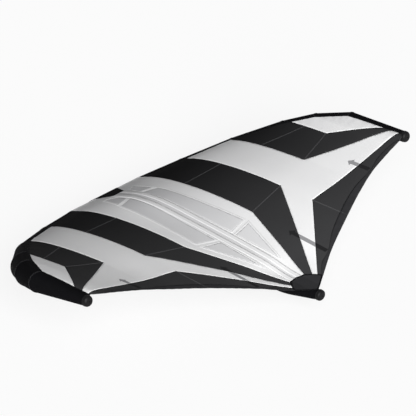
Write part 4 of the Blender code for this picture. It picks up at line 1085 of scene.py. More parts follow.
def make_skirt():
    """Black cloth that leaves the tube ahead of the outer panels and laps over them"""
    stations = front_stations(front_b[0], edge_points[-1][0])
    turns = ((9, 0), (7.5, 0), (5, 0.1), (2.5, 0.5), (0, 1))
    rows, seam = [], []
    for station in stations:
        point, ahead = station[0], station[3]
        lap = skirt_width * float(at(skirt_shares, point.x / half_width))
        rows.append(front_row(station, turns, lap, 0.0009))
        seam.append(np.array(point.xy - ahead.xy.normalized() * (lap - seam_inset)))
    return make_front_cloth("canopy_skirt", stations, rows, "black_dacron"), seam


def make_hems():
    """Front hems of the inner panels, which run on over the tube and are sewn to it"""
    made, seams = [], []
    for name, low, high, finish in (("centre", 0, front_a[0], "pale_ripstop"),
                                    ("inner_band", front_a[0], front_b[0], "dark_ripstop")):
        stations = front_stations(low, high)
        rows = []
        for station in stations:
            turn = float(at(hem_turn_shares, station[0].x / half_width))
            turns = [(turn * t, (1 - t) ** 2) for t in (1, 0.8, 0.6, 0.3, 0)]
            rows.append(front_row(station, turns, hem_lap, 0.0008))
        made.append(make_front_cloth(f"canopy_{name}_hems", stations, rows, finish))
        for side, _ in sides:
            flip = np.array((side, 1, 1))
            line = [np.array(row[1]) * flip for row in rows]
            ups = [np.array((row[1] - station[1]).normalized()) * flip
                   for row, station in zip(rows, stations)]
            seams.append((line, ups))
    return made, seams


def make_trailing_band(side, hand):
    """Folded tape round the trailing edge, with a hollow inner edge between the battens"""
    xs = np.linspace(half_width * band_shares[0][0], half_width * band_shares[-1][0], 150)
    backs = back_at(xs)[0]
    widths = band_width * smooth_at(band_shares, xs / half_width)
    shares = (1, 0.8, 0.55, 0.3, 0.1, 0)
    upper = [(backs + widths * share, surface(xs, backs + widths * share) + band_stand)
             for share in shares]
    fold = [(backs - 0.0014, surface(xs, backs) - 0.0002)]
    lower = [(ys, level - band_wrap) for ys, level in upper[::-1]]
    columns = upper + fold + lower
    verts = [(side * x, ys[i], levels[i]) for i, x in enumerate(xs) for ys, levels in columns]
    across = [*shares, -0.03, *[-share for share in shares[::-1]]]
    uvs = [(x, band_width * share) for x in xs for share in across]
    piece = make_piece(f"trailing_band_{hand}_cloth", verts, grid_faces(len(xs), len(columns)),
                       "grey_dacron", [f"trailing_band_{hand}"], uvs, 60)
    turn_outwards(piece, verts[len(xs) // 2 * len(columns) + 2], (0, 0, 1))
    hem = [np.array((x, y + width - 0.003)) for x, y, width in zip(xs, backs, widths)]
    return thicken(piece, tape_cloth), hem


# ---- Tubes

def le_frames():
    """Directions across the panel inboard of each corner, carried outboard without a twist"""
    frames = [cross_frame(le_ways[0][0])]
    for inboard, outboard in le_ways[:-1]:
        turn = inboard.rotation_difference(outboard)
        frames.append([turn @ across for across in frames[-1]])
    return frames


def le_corner_ring(index):
    """Points of the smooth tube at a corner, in the mitre plane between its two panels"""
    centre, radius = le_corners[index]
    inboard, outboard = le_ways[index]
    outward, upward = le_frames()[index]
    mitre = (inboard + outboard).normalized()
    ring = []
    for angle in circle(tube_sides):
        offset = radius * (math.cos(angle) * outward + math.sin(angle) * upward)
        offset -= inboard * (offset.dot(mitre) / inboard.dot(mitre))
        ring.append(centre + offset)
    return np.array(ring)


def away_from(points, centre, way):
    """Unit directions from a tube's middle line to points on it, square to its way"""
    out = points - np.array(centre)
    way = np.array(way)
    return unit(out - (out @ way)[:, None] * way)


def panel_rings(ring_a, ring_b, centre_a, centre_b, pinched=(True, True)):
    """Rings of one tapered panel, drawn in and rippled by the seam at either end"""
    centre_a, centre_b = np.array(centre_a), np.array(centre_b)
    length = np.linalg.norm(centre_b - centre_a)
    way = (centre_b - centre_a) / length
    turns = circle(tube_sides)
    rings = []
    for t in np.linspace(0, 1, max(8, math.ceil(length / 0.009)) + 1):
        ring = ring_a * (1 - t) + ring_b * t
        out = away_from(ring, centre_a * (1 - t) + centre_b * t, way)
        draw = np.zeros(tube_sides)
        for pinch, away, phase in zip(pinched, (t * length, (1 - t) * length), (0.0, 2.0)):
            if pinch:
                drift = 1.3 * np.sin(turns * 5 + phase)
                wave = 0.5 + 0.5 * np.sin(turns * seam_ripples + phase + drift)
                fade = math.exp(-(away / seam_ripple_reach) ** 2) * min(1, away / 0.01)
                draw += seam_pinch * math.exp(-(away / seam_pinch_reach) ** 2)
                draw += seam_ripple * wave * fade
        rings.append(ring - out * draw[:, None])
    return rings, length


def make_sleeve(name, rings, runs, nodes):
    """Skin the rings of a sleeve as a closed wall of cloth"""
    rings = np.array(rings)
    wall = np.concatenate([rings, rings[:, :1]], axis=1)
    columns = tube_sides + 1
    uvs = [(run, j / tube_sides * math.tau * le_radius) for run in runs for j in range(columns)]
    piece = weld(make_piece(name, wall.reshape(-1, 3), grid_faces(len(rings), columns),
                            "black_dacron", nodes, uvs))
    ring = rings[len(rings) // 2]
    turn_outwards(piece, ring[0], ring[0] - ring.mean(axis=0))
    return thicken(piece, canopy_cloth)


def make_leading_edge():
    port, starboard = Vector(le_corners[0][0]), le_corners[0][0]
    port.x = -port.x
    middle, length = panel_rings(corner_rings[0] * (-1, 1, 1), corner_rings[0], port, starboard)
    made = [make_sleeve("le_sleeve_centre_cloth", middle,
                        np.linspace(-length / 2, length / 2, len(middle)),
                        ["le_sleeve_centre", "le_bladder"])]
    for first, part in ((0, "inner"), (2, "middle"), (4, "outer")):
        rings, runs = [], [0.0]
        for i in (first, first + 1):
            more, length = panel_rings(
                corner_rings[i], corner_rings[i + 1], le_corners[i][0], le_corners[i + 1][0],
                (True, i < len(le_corners) - 2))
            rings += more if i == first else more[1:]
            runs += list(runs[-1] + np.linspace(0, length, len(more))[1:])
        for side, hand in sides:
            made.append(make_sleeve(f"le_sleeve_{part}_{hand}_cloth",
                                    np.array(rings) * (side, 1, 1), runs,
                                    [f"le_sleeve_{part}_{hand}"]))
    return made


def tube_seam_rings():
    """At each seam round the tube: its ring of points, directions away from the tube and the way
    along it on both sides"""
    for ring, out, (inboard, outboard) in zip(corner_rings[:-1], corner_outs, le_ways):
        for side, _ in sides:
            flip = np.array((side, 1, 1))
            yield ring * flip, out * flip, np.array(inboard) * flip, np.array(outboard) * flip


def corner_tape_strips():
    """Seam tape round the tube at each corner, with a way out of the tube at its start"""
    half = tube_tape_width / 2
    for ring, out, inboard, outboard in tube_seam_rings():
        rows = [ring + way * (half * share) + out * lift
                for way, share, lift in ((-inboard, 1, 0.0005), (-inboard, 0.6, 0.0011),
                                         (inboard, 0, 0.0011), (outboard, 0.6, 0.0011),
                                         (outboard, 1, 0.0005))]
        rows = np.array([np.concatenate([row, row[:1]]) for row in rows]).transpose(1, 0, 2)
        uvs = [(i / tube_sides * 0.6, v) for i in range(tube_sides + 1)
               for v in np.linspace(-half, half, 5)]
        yield rows, uvs, out[0]


def closing_tape_strips():
    """Tape over the seam that closes the tube along it, low at the rear, with the way down"""
    slot = round((360 + closing_seam_degrees) / 360 * tube_sides)
    half = closing_tape_width / 2
    first = corner_rings[0]
    stops = [(first * (0, 1, 1), away_from(first, le_corners[0][0], (1, 0, 0))),
             *zip(corner_rings, corner_outs)]
    line = []
    for (ring, out), (next_ring, next_out) in zip(stops, stops[1:]):
        for t in np.linspace(0, 1, 24)[:-1]:
            here = ring * (1 - t) + next_ring * t
            lean = out[slot] * (1 - t) + next_out[slot] * t
            line.append([(here[math.floor(slot + j)] + here[math.ceil(slot + j)]) / 2 + lean * lift
                         for j, lift in zip((-1, -0.5, 0, 0.5, 1), tape_lifts)])
    uvs = [(i * 0.01, v) for i in range(len(line)) for v in np.linspace(-half, half, 5)]
    for side, _ in sides:
        yield np.array(line) * (side, 1, 1), uvs, (0, 0, -1)


def make_tube_tapes():
    """All the tape on the tube, with its drawn side outwards"""
    strips = []
    for rows, uvs, way in (*corner_tape_strips(), *closing_tape_strips()):
        points = rows.reshape(-1, 3)
        quads = grid_faces(len(rows), 5)
        a, b, c, _ = (points[i] for i in quads[0])
        turn = 1 if np.cross(b - a, c - b) @ np.array(way) > 0 else -1
        strips.append((points, [quad[::turn] for quad in quads], uvs))
    join_strips("tube_seam_tapes", strips, "black_dacron", 60)


def strut_section(y):
    """Radius of the strut and height of its middle, under the strip"""
    last = canopy_front - (canopy_front - tail_reach) / strut_row_count
    share = min(max(y, 0) / last, 1)
    radius = strut_radius * float(smooth_at(strut_radius_shares, share))
    return radius, float(height(0, max(y, 0))) - canopy_thickness - gap - radius


# ---- Geometry Nodes

def new_tree(name, inputs):
    """A geometry tree with a geometry input and output, and named inputs for its sizes"""
    tree = bpy.data.node_groups.new(name, "GeometryNodeTree")
    tree.interface.new_socket("Geometry", in_out="INPUT", socket_type="NodeSocketGeometry")
    for label, kind, value in inputs:
        socket = tree.interface.new_socket(label, in_out="INPUT", socket_type=kind)
        if value is not None:
            socket.default_value = value
    tree.interface.new_socket("Geometry", in_out="OUTPUT", socket_type="NodeSocketGeometry")
    return tree, add(tree, "NodeGroupInput").outputs


def finish_tree(tree, geometry, material):
    """End a tree in real geometry with its material set"""
    real = add(tree, "GeometryNodeRealizeInstances", {0: geometry})
    dressed = add(tree, "GeometryNodeSetMaterial", {"Geometry": real, "Material": material})
    add(tree, "NodeGroupOutput", {0: dressed})
    return tree


def run_tree(piece, tree, finish, **values):
    """Run a geometry tree on a piece with its inputs set, and keep the plain mesh it makes"""
    modifier = piece.modifiers.new("tree", "NODES")
    modifier.node_group = tree
    known = {item.name: item.identifier for item in tree.interface.items_tree
             if item.item_type == "SOCKET" and item.in_out == "INPUT"}
    for label, value in values.items():
        modifier[known[label.capitalize()]] = value
    modifier[known["Material"]] = materials[finish]
    bpy.context.scene.collection.objects.link(piece)
    apply_modifiers(piece)
    piece.data.shade_smooth()
    return piece


def line_object(name, lines, radii=None):
    """A mesh of open lines in the frame, with the way up at each point"""
    verts, edges, ups = [], [], []
    for line, up in lines:
        start = len(verts)
        verts += [tuple(Vector(p) + to_frame) for p in line]
        ups += [tuple(u) for u in up]
        edges += [(start + i, start + i + 1) for i in range(len(line) - 1)]
    mesh = bpy.data.meshes.new(name)
    mesh.from_pydata(verts, edges, [])
    way_up = mesh.attributes.new("way_up", "FLOAT_VECTOR", "POINT")
    way_up.data.foreach_set("vector", np.array(ups, np.float32).ravel())
    if radii is not None:
        radius = mesh.attributes.new("tube_radius", "FLOAT", "POINT")
        radius.data.foreach_set("value", np.array(radii, np.float32))
    return bpy.data.objects.new(name, mesh)


def make_row_tree():
    """Copies of a shape at an even spacing along lines, every other one turned or moved across"""
    tree, given = new_tree("rows", [
        ("Spacing", "NodeSocketFloat", stitch_length), ("Slant", "NodeSocketFloat", 0.0),
        ("Across", "NodeSocketFloat", 0.0), ("Shape", "NodeSocketObject", None),
        ("Material", "NodeSocketMaterial", None)])
    curve = add(tree, "GeometryNodeMeshToCurve", {"Mesh": given["Geometry"]})
    even = add(tree, "GeometryNodeResampleCurve", {"Curve": curve, "Length": given["Spacing"]},
               mode="LENGTH")
    up = add(tree, "GeometryNodeInputNamedAttribute", {"Name": "way_up"},
             data_type="FLOAT_VECTOR")
    along = add(tree, "GeometryNodeInputTangent")
    upright = add(tree, "FunctionNodeAlignRotationToVector", {"Vector": up}, axis="Z")
    aligned = add(tree, "FunctionNodeAlignRotationToVector", {
        "Rotation": upright, "Vector": along}, axis="X", pivot_axis="Z")
    index = add(tree, "GeometryNodeInputIndex")
    odd = add(tree, "ShaderNodeMath", {0: index, 1: 2.0}, operation="MODULO")
    swing = add(tree, "ShaderNodeMath", {0: odd, 1: 2.0, 2: -1.0}, operation="MULTIPLY_ADD")
    slant, across = (add(tree, "ShaderNodeMath", {0: swing, 1: given[label]},
                         operation="MULTIPLY") for label in ("Slant", "Across"))
    turn = add(tree, "FunctionNodeAxisAngleToRotation", {"Axis": (0, 0, 1), "Angle": slant})
    turned = add(tree, "FunctionNodeRotateRotation", {
        "Rotation": aligned, "Rotate By": turn}, rotation_space="LOCAL")
    shape = add(tree, "GeometryNodeObjectInfo", {"Object": given["Shape"]})
    placed = add(tree, "GeometryNodeInstanceOnPoints", {
        "Points": even, "Instance": shape.outputs["Geometry"], "Rotation": turned})
    aside = add(tree, "ShaderNodeCombineXYZ", {"Y": across})
    moved = add(tree, "GeometryNodeTranslateInstances", {
        "Instances": placed, "Translation": aside})
    return finish_tree(tree, moved, given["Material"])


def make_tube_tree():
    """A round tube along a line, as wide at each point as the line says"""
    tree, given = new_tree("tube", [
        ("Sides", "NodeSocketInt", 64), ("Girth", "NodeSocketFloat", strut_radius * math.tau),
        ("Material", "NodeSocketMaterial", None)])
    radius = add(tree, "GeometryNodeInputNamedAttribute", {"Name": "tube_radius"},
                 data_type="FLOAT")
    curve = add(tree, "GeometryNodeMeshToCurve", {"Mesh": given["Geometry"]})
    ring = add(tree, "GeometryNodeCurvePrimitiveCircle", {
        "Resolution": given["Sides"], "Radius": 1.0}, mode="RADIUS")
    spline = add(tree, "GeometryNodeSplineParameter")
    kept = []
    for line, value in ((curve, "Length"), (ring, "Factor")):
        capture = add(tree, "GeometryNodeCaptureAttribute", {"Geometry": line})
        capture.capture_items.new("FLOAT", "Place")
        tree.links.new(spline.outputs[value], capture.inputs["Place"])
        kept.append(capture)
    tube = add(tree, "GeometryNodeCurveToMesh", {
        "Curve": kept[0], "Profile Curve": kept[1], "Scale": radius})
    around = add(tree, "ShaderNodeMath", {0: kept[1].outputs["Place"], 1: given["Girth"]},
                 operation="MULTIPLY")
    flat = add(tree, "ShaderNodeCombineXYZ", {"X": kept[0].outputs["Place"], "Y": around})
    mapped = add(tree, "GeometryNodeStoreNamedAttribute", {
        "Geometry": tube, "Name": "cloth", "Value": flat}, data_type="FLOAT2", domain="CORNER")
    return finish_tree(tree, mapped, given["Material"])


def make_shape(name, build):
    """A small shape at the origin, for a tree to copy"""
    bm = bmesh.new()
    build(bm)
    mesh = bpy.data.meshes.new(name)
    bm.to_mesh(mesh)
    bm.free()
    return link(name, mesh)


def build_rings(bm, rings):
    """Skin rings of points as a closed shape"""
    rings = [[bm.verts.new(point) for point in ring] for ring in rings]
    for near, far in zip(rings, rings[1:]):
        for i in range(len(near)):
            j = (i + 1) % len(near)
            bm.faces.new((near[i], near[j], far[j], far[i]))
    bm.faces.new(rings[0][::-1])
    bm.faces.new(rings[-1])
    bmesh.ops.recalc_face_normals(bm, faces=bm.faces)


def build_stitch(bm):
    """A short thread that dives into the cloth at both ends"""
    build_rings(bm, [[(stitch_length * 0.92 * x, thread_radius * r * math.cos(a),
                       thread_radius * (z + r * math.sin(a))) for a in circle(4)]
                     for x, z, r in stitch_rings])


def build_tooth(bm):
    """One turn of the zip's coil, with a crown that grips the other side's"""
    bmesh.ops.create_cube(bm, size=1, matrix=Matrix.Diagonal((
        zip_pitch * 0.62, zip_tooth_width, zip_tooth_height, 1)))
    bmesh.ops.translate(bm, verts=bm.verts, vec=(0, 0, zip_tooth_height / 2))
    bmesh.ops.bevel(bm, geom=list(bm.edges), offset=zip_pitch * 0.15, segments=1,
                    affect="EDGES")


def build_screw(bm):
    """Pan head with a round socket"""
    build_rings(bm, [[(r * math.cos(a), r * math.sin(a), z) for a in circle(18)]
                     for r, z in screw_rings])


def on_canopy(line, lift, side=1, closed=False):
    """A line on the canopy with the way up at each point, for stitching"""
    points = divided([np.asarray(p, float) for p in line], sewing_step, closed)
    if closed:
        points.append(points[0])
    points = np.array(points)
    reach = sewing_step / 3
    level = surface(points[:, 0], points[:, 1])
    slopes = [(surface(points[:, 0] + dx, points[:, 1] + dy) - level) / reach
              for dx, dy in ((reach, 0), (0, reach))]
    ups = unit(np.column_stack([-slopes[0], -slopes[1], np.ones(len(points))]))
    flip = np.array((side, 1, 1))
    return np.column_stack([points, level + lift]) * flip, ups * flip


def rows_beside(line, offsets, lift, side=1, closed=False):
    """Sewing lines on the canopy at offsets to the left of a line"""
    return [on_canopy(beside(line, offset, closed), lift, side, closed) for offset in offsets]


def sew(name, lines, finish):
    piece = run_tree(line_object(name, lines), row_tree, finish, spacing=stitch_length,
                     slant=stitch_slant, shape=shapes["stitch"])
    return keep(piece, finish)


def sew_canopy(skirt_line, band_seams):
    """Rows of stitches along every seam, in the colour of the cloth that they go through"""
    black, white, grey = [], [], []
    over_tape = seam_seat + tape_cloth + thread_radius
    strut_row = strut_tape_width / 2 - 0.0035
    for side, _ in sides:
        for name, line in panel_seams.items():
            rows = rows_beside(line, (seam_row, -seam_row), thread_radius / 2, side)
            for stitches, row in zip((black, white) if name in "ac" else (white, black), rows):
                stitches.append(row)
        for line in cross_seams.values():
            grey += rows_beside(line, (cross_row, -cross_row), over_tape, side)
        for outline in windows.values():
            offsets = outward_offsets(outline, 0.0, window_border - 0.002)
            white += rows_beside(outline, offsets, over_tape, side, True)
        white += rows_beside(strut_tape_line(), (-strut_row, strut_row),
                             over_tape + strut_tape_lift, side)
        black.append(on_canopy(skirt_line, 0.0010, side))
        black += rows_beside(skirt_line, [0.007], 0.0011, side)
    for (side, _), line in zip(sides, band_seams):
        black.append(on_canopy(line, 0.0011, side))
    outline = tail_patch_outline()
    inward = 1 if turn_of(outline) > 0 else -1
    for inset, lift in binding_rows:
        black += rows_beside(outline, [inward * inset], tail_patch_lift + lift, 1, True)
    return {"black": sew("dark_cloth_stitches", black, "black_thread"),
            "white": sew("pale_cloth_stitches", white, "white_thread"),
            "grey": sew("cross_seam_stitches", grey, "grey_thread")}


def sew_tubes():
    """Two rows of stitches through the tape round each corner of the tube"""
    lines = []
    for ring, out, inboard, outboard in tube_seam_rings():
        for shift in (-inboard * tube_row, outboard * tube_row):
            line = ring + shift + out * 0.0013
            lines.append((np.concatenate([line, line[:1]]), np.concatenate([out, out[:1]])))
    return sew("tube_stitches", lines, "grey_thread")


# ---- Shapes along paths

def sweep(path, ups, sections):
    """Points, faces and flat coordinates of a closed shape: a section at each point of a path"""
    path, sections = np.array(path, float), np.array(sections)
    tangents = unit(np.gradient(path, axis=0))
    across = unit(np.cross(tangents, np.array(ups, float)))
    upward = np.cross(across, tangents)
    sections = np.concatenate([sections, sections[:, :1]], axis=1)
    rings = (path[:, None] + sections[:, :, :1] * across[:, None]
             + sections[:, :, 1:] * upward[:, None])
    count, columns = rings.shape[:2]
    faces = grid_faces(count, columns)
    faces += [tuple(range(columns - 1))[::-1],
              tuple((count - 1) * columns + i for i in range(columns - 1))]
    around = runs_along(sections[count // 2])
    uvs = [(run, v) for run in runs_along(path) for v in around]
    return rings.reshape(-1, 3), faces, uvs


def oval(width, thickness, power=2.0):
    """A section between a round (2) and a rectangle (higher powers)"""
    turns = circle(32)
    c, s = np.cos(turns), np.sin(turns)
    return np.column_stack([width / 2 * np.sign(c) * np.abs(c) ** (2 / power),
                            thickness / 2 * np.sign(s) * np.abs(s) ** (2 / power)])


def recalculate(piece):
    """Point every face of a closed shape outwards"""
    bm = bmesh.new()
    bm.from_mesh(piece.data)
    bmesh.ops.recalc_face_normals(bm, faces=bm.faces)
    bm.to_mesh(piece.data)
    bm.free()
    return piece


def make_swept(name, path, ups, sections, finish, nodes=()):
    verts, faces, uvs = sweep(path, ups, sections)
    return recalculate(weld(make_piece(name, verts, faces, finish, nodes, uvs, 50)))


def rounded_path(corners, radii, steps=10):
    """A path through corners, each turned on an arc of its radius"""
    path = [Vector(corners[0])]
    for before, corner, after, radius in zip(corners, corners[1:], corners[2:], radii):
        before, corner, after = Vector(before), Vector(corner), Vector(after)
        back, ahead = (before - corner).normalized(), (after - corner).normalized()
        half = back.angle(ahead) / 2
        centre = corner + (back + ahead).normalized() * (radius / math.sin(half))
        first = (corner + back * (radius / math.tan(half)) - centre).normalized()
        last = (corner + ahead * (radius / math.tan(half)) - centre).normalized()
        path += [centre + first.slerp(last, i / steps) * radius for i in range(steps + 1)]
    path.append(Vector(corners[-1]))
    result = []
    for a, b in zip(path, path[1:]):
        count = max(1, math.ceil((b - a).length / 0.006))
        result += [a.lerp(b, i / count) for i in range(count)]
    return result + [path[-1]]


def frame_at(place, across, along, out):
    """A frame at a place, from its three directions"""
    here = Matrix((across, along, out)).transposed().to_4x4()
    here.translation = place
    return here


def surface_frame(place, degrees):
    """Frame on the tube's middle panel: +X to starboard, +Z away from the tube"""
    centre, radius = le_corners[0]
    angle = math.radians(degrees)
    starboard, outward = Vector((1, 0, 0)), Vector((0, math.cos(angle), math.sin(angle)))
    return frame_at(Vector((place, centre.y, centre.z)) + outward * radius,
                    starboard, outward.cross(starboard), outward)


def on_tube(here, x, y, lift):
    """A place on the tube's middle panel, y being the way round it from the frame's middle"""
    radius = le_corners[0][1]
    turn = y / radius
    return here @ Vector((x, (radius + lift) * math.sin(turn),
                          (radius + lift) * math.cos(turn) - radius))


def away_at(here):
    """The way out of a surface at a frame on it"""
    return here.to_3x3() @ Vector((0, 0, 1))


def sewn_box(near, far, half_wide):
    """Corners of a sewn box and its diagonal: places along a strap and across it"""
    return [(near, -half_wide), (far, -half_wide), (far, half_wide), (near, half_wide),
            (near, -half_wide), (far, half_wide)]


def make_nose_patch():
    """Wear patch: from the canopy's middle over the skirt, then round the front of the tube"""
    centre, radius = le_corners[0]
    on_cloth = np.linspace(canopy_front - nose_patch_setback, canopy_front - 0.004, 14)
    line = [(y, float(surface(0, y)[0]) + nose_patch_lift) for y in on_cloth]
    for degrees in np.linspace(*nose_patch_wrap, 36):
        angle = math.radians(degrees)
        reach = radius + 0.0024 + 0.0008 * max(0.0, min(1.0, (degrees - 42) / 8))
        line.append((centre.y + reach * math.cos(angle), centre.z + reach * math.sin(angle)))
    runs = runs_along(line)
    halves = np.minimum(nose_patch_half_width + nose_patch_spread * runs, nose_patch_flare)
    shares = np.linspace(-1, 1, 21)
    verts, uvs = [], []
    for i, ((y, z), run, half) in enumerate(zip(line, runs, halves)):
        xs, levels = half * shares, np.full(len(shares), z)
        if i < len(on_cloth):
            levels = surface(xs, np.full(len(xs), y)) + nose_patch_lift
        verts += [(x, y, level) for x, level in zip(xs, levels)]
        uvs += [(x, run) for x in xs]
    piece = make_piece("nose_patch_cloth", verts, grid_faces(len(line), len(shares)),
                       "black_dacron", ["nose_patch"], uvs, 60)
    turn_outwards(piece, verts[-10], (0, 0.8, -0.6))
    ups = [Vector((0, 0, 1)) if i < len(on_cloth)
           else Vector((0, y - centre.y, z - centre.z)).normalized()
           for i, (y, z) in enumerate(line)]
    seam = np.column_stack([halves - seam_inset, line])
    stitches = sew("nose_patch_stitches", [(seam * (side, 1, 1), ups) for side, _ in sides],
                   "grey_thread")
    return thicken(piece, 0.0008), stitches


def make_nose_handle():
    """Webbing sewn flat to the nose patch at both ends, and its padded sleeve"""
    here = surface_frame(0, nose_handle_degrees)
    half, reach = nose_handle_length / 2, nose_handle_reach - nose_handle_radius
    top, tail, seat = half * nose_handle_top_share, half + nose_handle_tail, nose_patch_lift
    corners = [(-tail, 0, seat), (-half, 0, seat), (-top, 0, reach), (top, 0, reach),
               (half, 0, seat), (tail, 0, seat)]
    path = [here @ p for p in rounded_path(corners, nose_handle_bends)]
    up = away_at(here)
    make_swept("nose_handle_strap", path, [up] * len(path),
               [oval(strap_width, strap_thickness, 8)] * len(path), "webbing", ["nose_handle"])
    count = 60
    pad_path = [here @ Vector((x * pad_share, 0, reach)) for x in np.linspace(-top, top, count)]
    sections = []
    for i in range(count):
        end = min(i, count - 1 - i)
        full = min(1.0, pad_end + (1 - pad_end) * math.sqrt(min(1.0, end / 5)))
        full *= 1 - 0.02 * math.exp(-((end - 4) / 0.8) ** 2)   # drawn in by its stitches
        sections.append(oval(pad_width * full, pad_thickness * full, 2.6))
    pad = make_swept("nose_handle_pad", pad_path, [up] * count, sections, "eva_foam")
    box = sewn_box(half + seam_inset, tail - 0.003, 0.009)
    sew("nose_handle_stitches", [([here @ Vector((side * x, y, 0.0040)) for x, y in box],
                                  [up] * len(box)) for side, _ in sides], "grey_thread")


def make_leash_loop():
    """Webbing loop whose two tails are sewn flat along the underside of the strut"""
    place = root_length - loop_setback
    bend = loop_hole / 2 + loop_webbing / 2
    bottom = min(level - radius for radius, level in (
        strut_section(place - bend * 2), strut_section(place + bend * 2)))
    top, low = bottom - loop_seat, bottom - loop_drop - bend
    corners = [(0, place + loop_tail, top), (0, place + bend, top), (0, place + bend, low),
               (0, place - bend, low), (0, place - bend, top), (0, place - loop_tail, top)]
    path = rounded_path(corners, (0.003, bend * 0.98, bend * 0.98, 0.003))
    ups = np.cross((1, 0, 0), np.gradient(np.array(path), axis=0))
    make_swept("leash_loop_webbing", path, ups, [oval(loop_width, 0.0030, 8)] * len(path),
               "webbing", ["leash_loop"])
    box = sewn_box(0.018, loop_tail - seam_inset, -0.0075)
    sew("leash_loop_stitches", [([(x, place + way * y, top - 0.0017) for y, x in box],
                                 [(0, 0, -1)] * len(box)) for way in (1, -1)], "grey_thread")


def make_bar(place_name):
    """Bent tube of a handle, flared into a round foot at each end"""
    low, high = (corner - to_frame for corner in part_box(f"{place_name}_handle_bar"))
    ends, bottom = (low.y + foot_radius, high.y - foot_radius), low.z + bar_radius
    corners = [(0, ends[0], high.z), (0, ends[0], bottom), (0, ends[1], bottom),
               (0, ends[1], high.z)]
    bent = rounded_path(corners, (bar_bend, bar_bend), 16)
    path = [a.lerp(b, i / 3) for a, b in zip(bent, bent[1:]) for i in range(3)] + [bent[-1]]
    sections = []
    for point in path:
        flare = max(0.0, 1 - (high.z - point.z) / foot_height)
        sections.append(oval(*[2 * (bar_radius + (foot_radius - bar_radius) * flare ** 1.7)] * 2))
    make_swept(f"{place_name}_handle_tube", path, [(1, 0, 0)] * len(path), sections,
               "handle_tube", [f"{place_name}_handle_bar"])


def make_grip(place_name):
    """Foam grip on a handle, with crossed grooves that spiral round it"""
    low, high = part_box(f"{place_name}_handle_grip")
    centre = (low + high) / 2 - to_frame
    half = (high.y - low.y) / 2
    rows, columns = round(half * 2 / 0.0012), 96
    turns = np.arange(columns + 1) / columns * math.tau
    bore = np.full(len(turns), bar_bore)
    rings = [(-half, bore)]
    for y in np.linspace(-half, half, rows):
        end = half - abs(y)
        along = 1 - min(1.0, end / grip_rounding[1])
        round_off = grip_rounding[0] * (1 - math.sqrt(1 - along ** 2))
        spiral = y / groove_pitch * math.pi
        groove = sum(np.clip(1 - np.abs(np.sin(turns * 2 + way * spiral)) / groove_share, 0, 1)
                     for way in (1, -1))
        fade = min(1.0, max(0.0, (end - groove_end) / 0.003))
        rings.append((y, grip_radius - round_off - np.clip(groove, 0, 1) * groove_depth * fade))
    rings.append((half, bore))
    verts = [(centre.x + r * math.cos(t), centre.y + y, centre.z + r * math.sin(t))
             for y, radius in rings for t, r in zip(turns, radius)]
    uvs = [(y, 0 if radius is bore else t * grip_radius) for y, radius in rings for t in turns]
    last = (len(rings) - 1) * len(turns)
    faces = grid_faces(len(rings), len(turns))
    faces += [(last + c, last + c + 1, c + 1, c) for c in range(columns)]
    piece = weld(make_piece(f"{place_name}_handle_foam", verts, faces, "eva_foam",
                            [f"{place_name}_handle_grip"], uvs, 60))
    turn_outwards(piece, (centre.x, centre.y, centre.z - grip_radius), (0, 0, -1))


def make_screws():
    """Four screws through each saddle, beside the feet of its bar"""
    lines = []
    for place_name in ("front", "rear"):
        low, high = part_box(f"{place_name}_handle_saddle")
        for x in (low.x + 0.012, high.x - 0.012):
            line = [Vector((x, y, low.z)) - to_frame for y in (low.y + 0.014, high.y - 0.014)]
            lines.append((line, [(0, 0, -1)] * 2))
    longer = 9.0   # than any line, so that only its ends carry a screw
    piece = run_tree(line_object("saddle_screws", lines), row_tree, "steel", spacing=longer,
                     shape=shapes["screw"])
    piece.data.set_sharp_from_angle(angle=math.radians(35))
    keep(piece, "steel")


def make_hose():
    """Air hose from the leading edge to the strut: a free hose with a fitting at each end"""
    place = root_length - hose_setback
    radius, level = strut_section(place)
    outward, forward = Vector((-1, 0, 0)), Vector((0, 1, 0))
    ends = (surface_frame(hose_place, hose_degrees),
            frame_at((-radius, place, level), outward.cross(forward), -forward, outward))
    start, end = (here @ Vector((0, 0, gap * 2 + fitting_flange_thickness)) for here in ends)
    lean = [away_at(here) * hose_reach for here in ends]
    path, tail = [start], end
    straight = fitting_height / hose_reach
    start, end = start + lean[0] * straight, end + lean[1] * straight
    for t in np.linspace(0, 1, 29):
        path.append(start * (1 - t) ** 3 + (start + lean[0]) * 3 * t * (1 - t) ** 2
                    + (end + lean[1]) * 3 * t ** 2 * (1 - t) + end * t ** 3)
    path.append(tail)
    across = hose_radius * 2
    piece = make_swept("air_hose_tube", path, [(0, 0, 1)] * len(path),
                       [oval(across, across)] * len(path), "hose_rubber", ["air_hose"])
    line = [p + to_frame for p in path]
    tuple(line[0])
    sum((b - a).length for a, b in zip(line, line[1:]))
    [tuple(p) for p in line]


def make_zip():
    """Zip in the tube's middle panel: two tapes sewn to the sleeve, and the coil between them"""
    here = surface_frame(0, zip_degrees)
    half_length = half_width * le_corner_shares[0][0] * zip_share
    up = away_at(here)
    strips = []
    xs = np.linspace(-half_length, half_length, 90)
    for way, _ in sides:
        places = way * np.linspace(0.0004, zip_tape_width / 2, 6)
        strips.append(([on_tube(here, x, y, tube_lift) for x in xs for y in places],
                       [quad[::way] for quad in grid_faces(len(xs), len(places))],
                       [(x, y) for x in xs for y in places]))
    join_strips("zip_tape", strips, "webbing", nodes=["le_zip"],
                outside=(strips[0][0][0], up), thickness=0.0008)
    line = [here @ Vector((x, 0, 0.0013)) for x in (-half_length + 0.004, half_length - 0.004)]
    teeth = run_tree(line_object("zip_coil", [(line, [up, up])]), row_tree, "moulded_nylon",
                     spacing=zip_pitch, across=zip_tooth_across, shape=shapes["tooth"])
    teeth.data.set_sharp_from_angle(angle=math.radians(30))
    keep(teeth, "moulded_nylon")
    sew("zip_stitches", [([on_tube(here, x, y, 0.0014) for x in xs], [up] * len(xs))
                         for y in (-zip_row, zip_row)], "grey_thread")


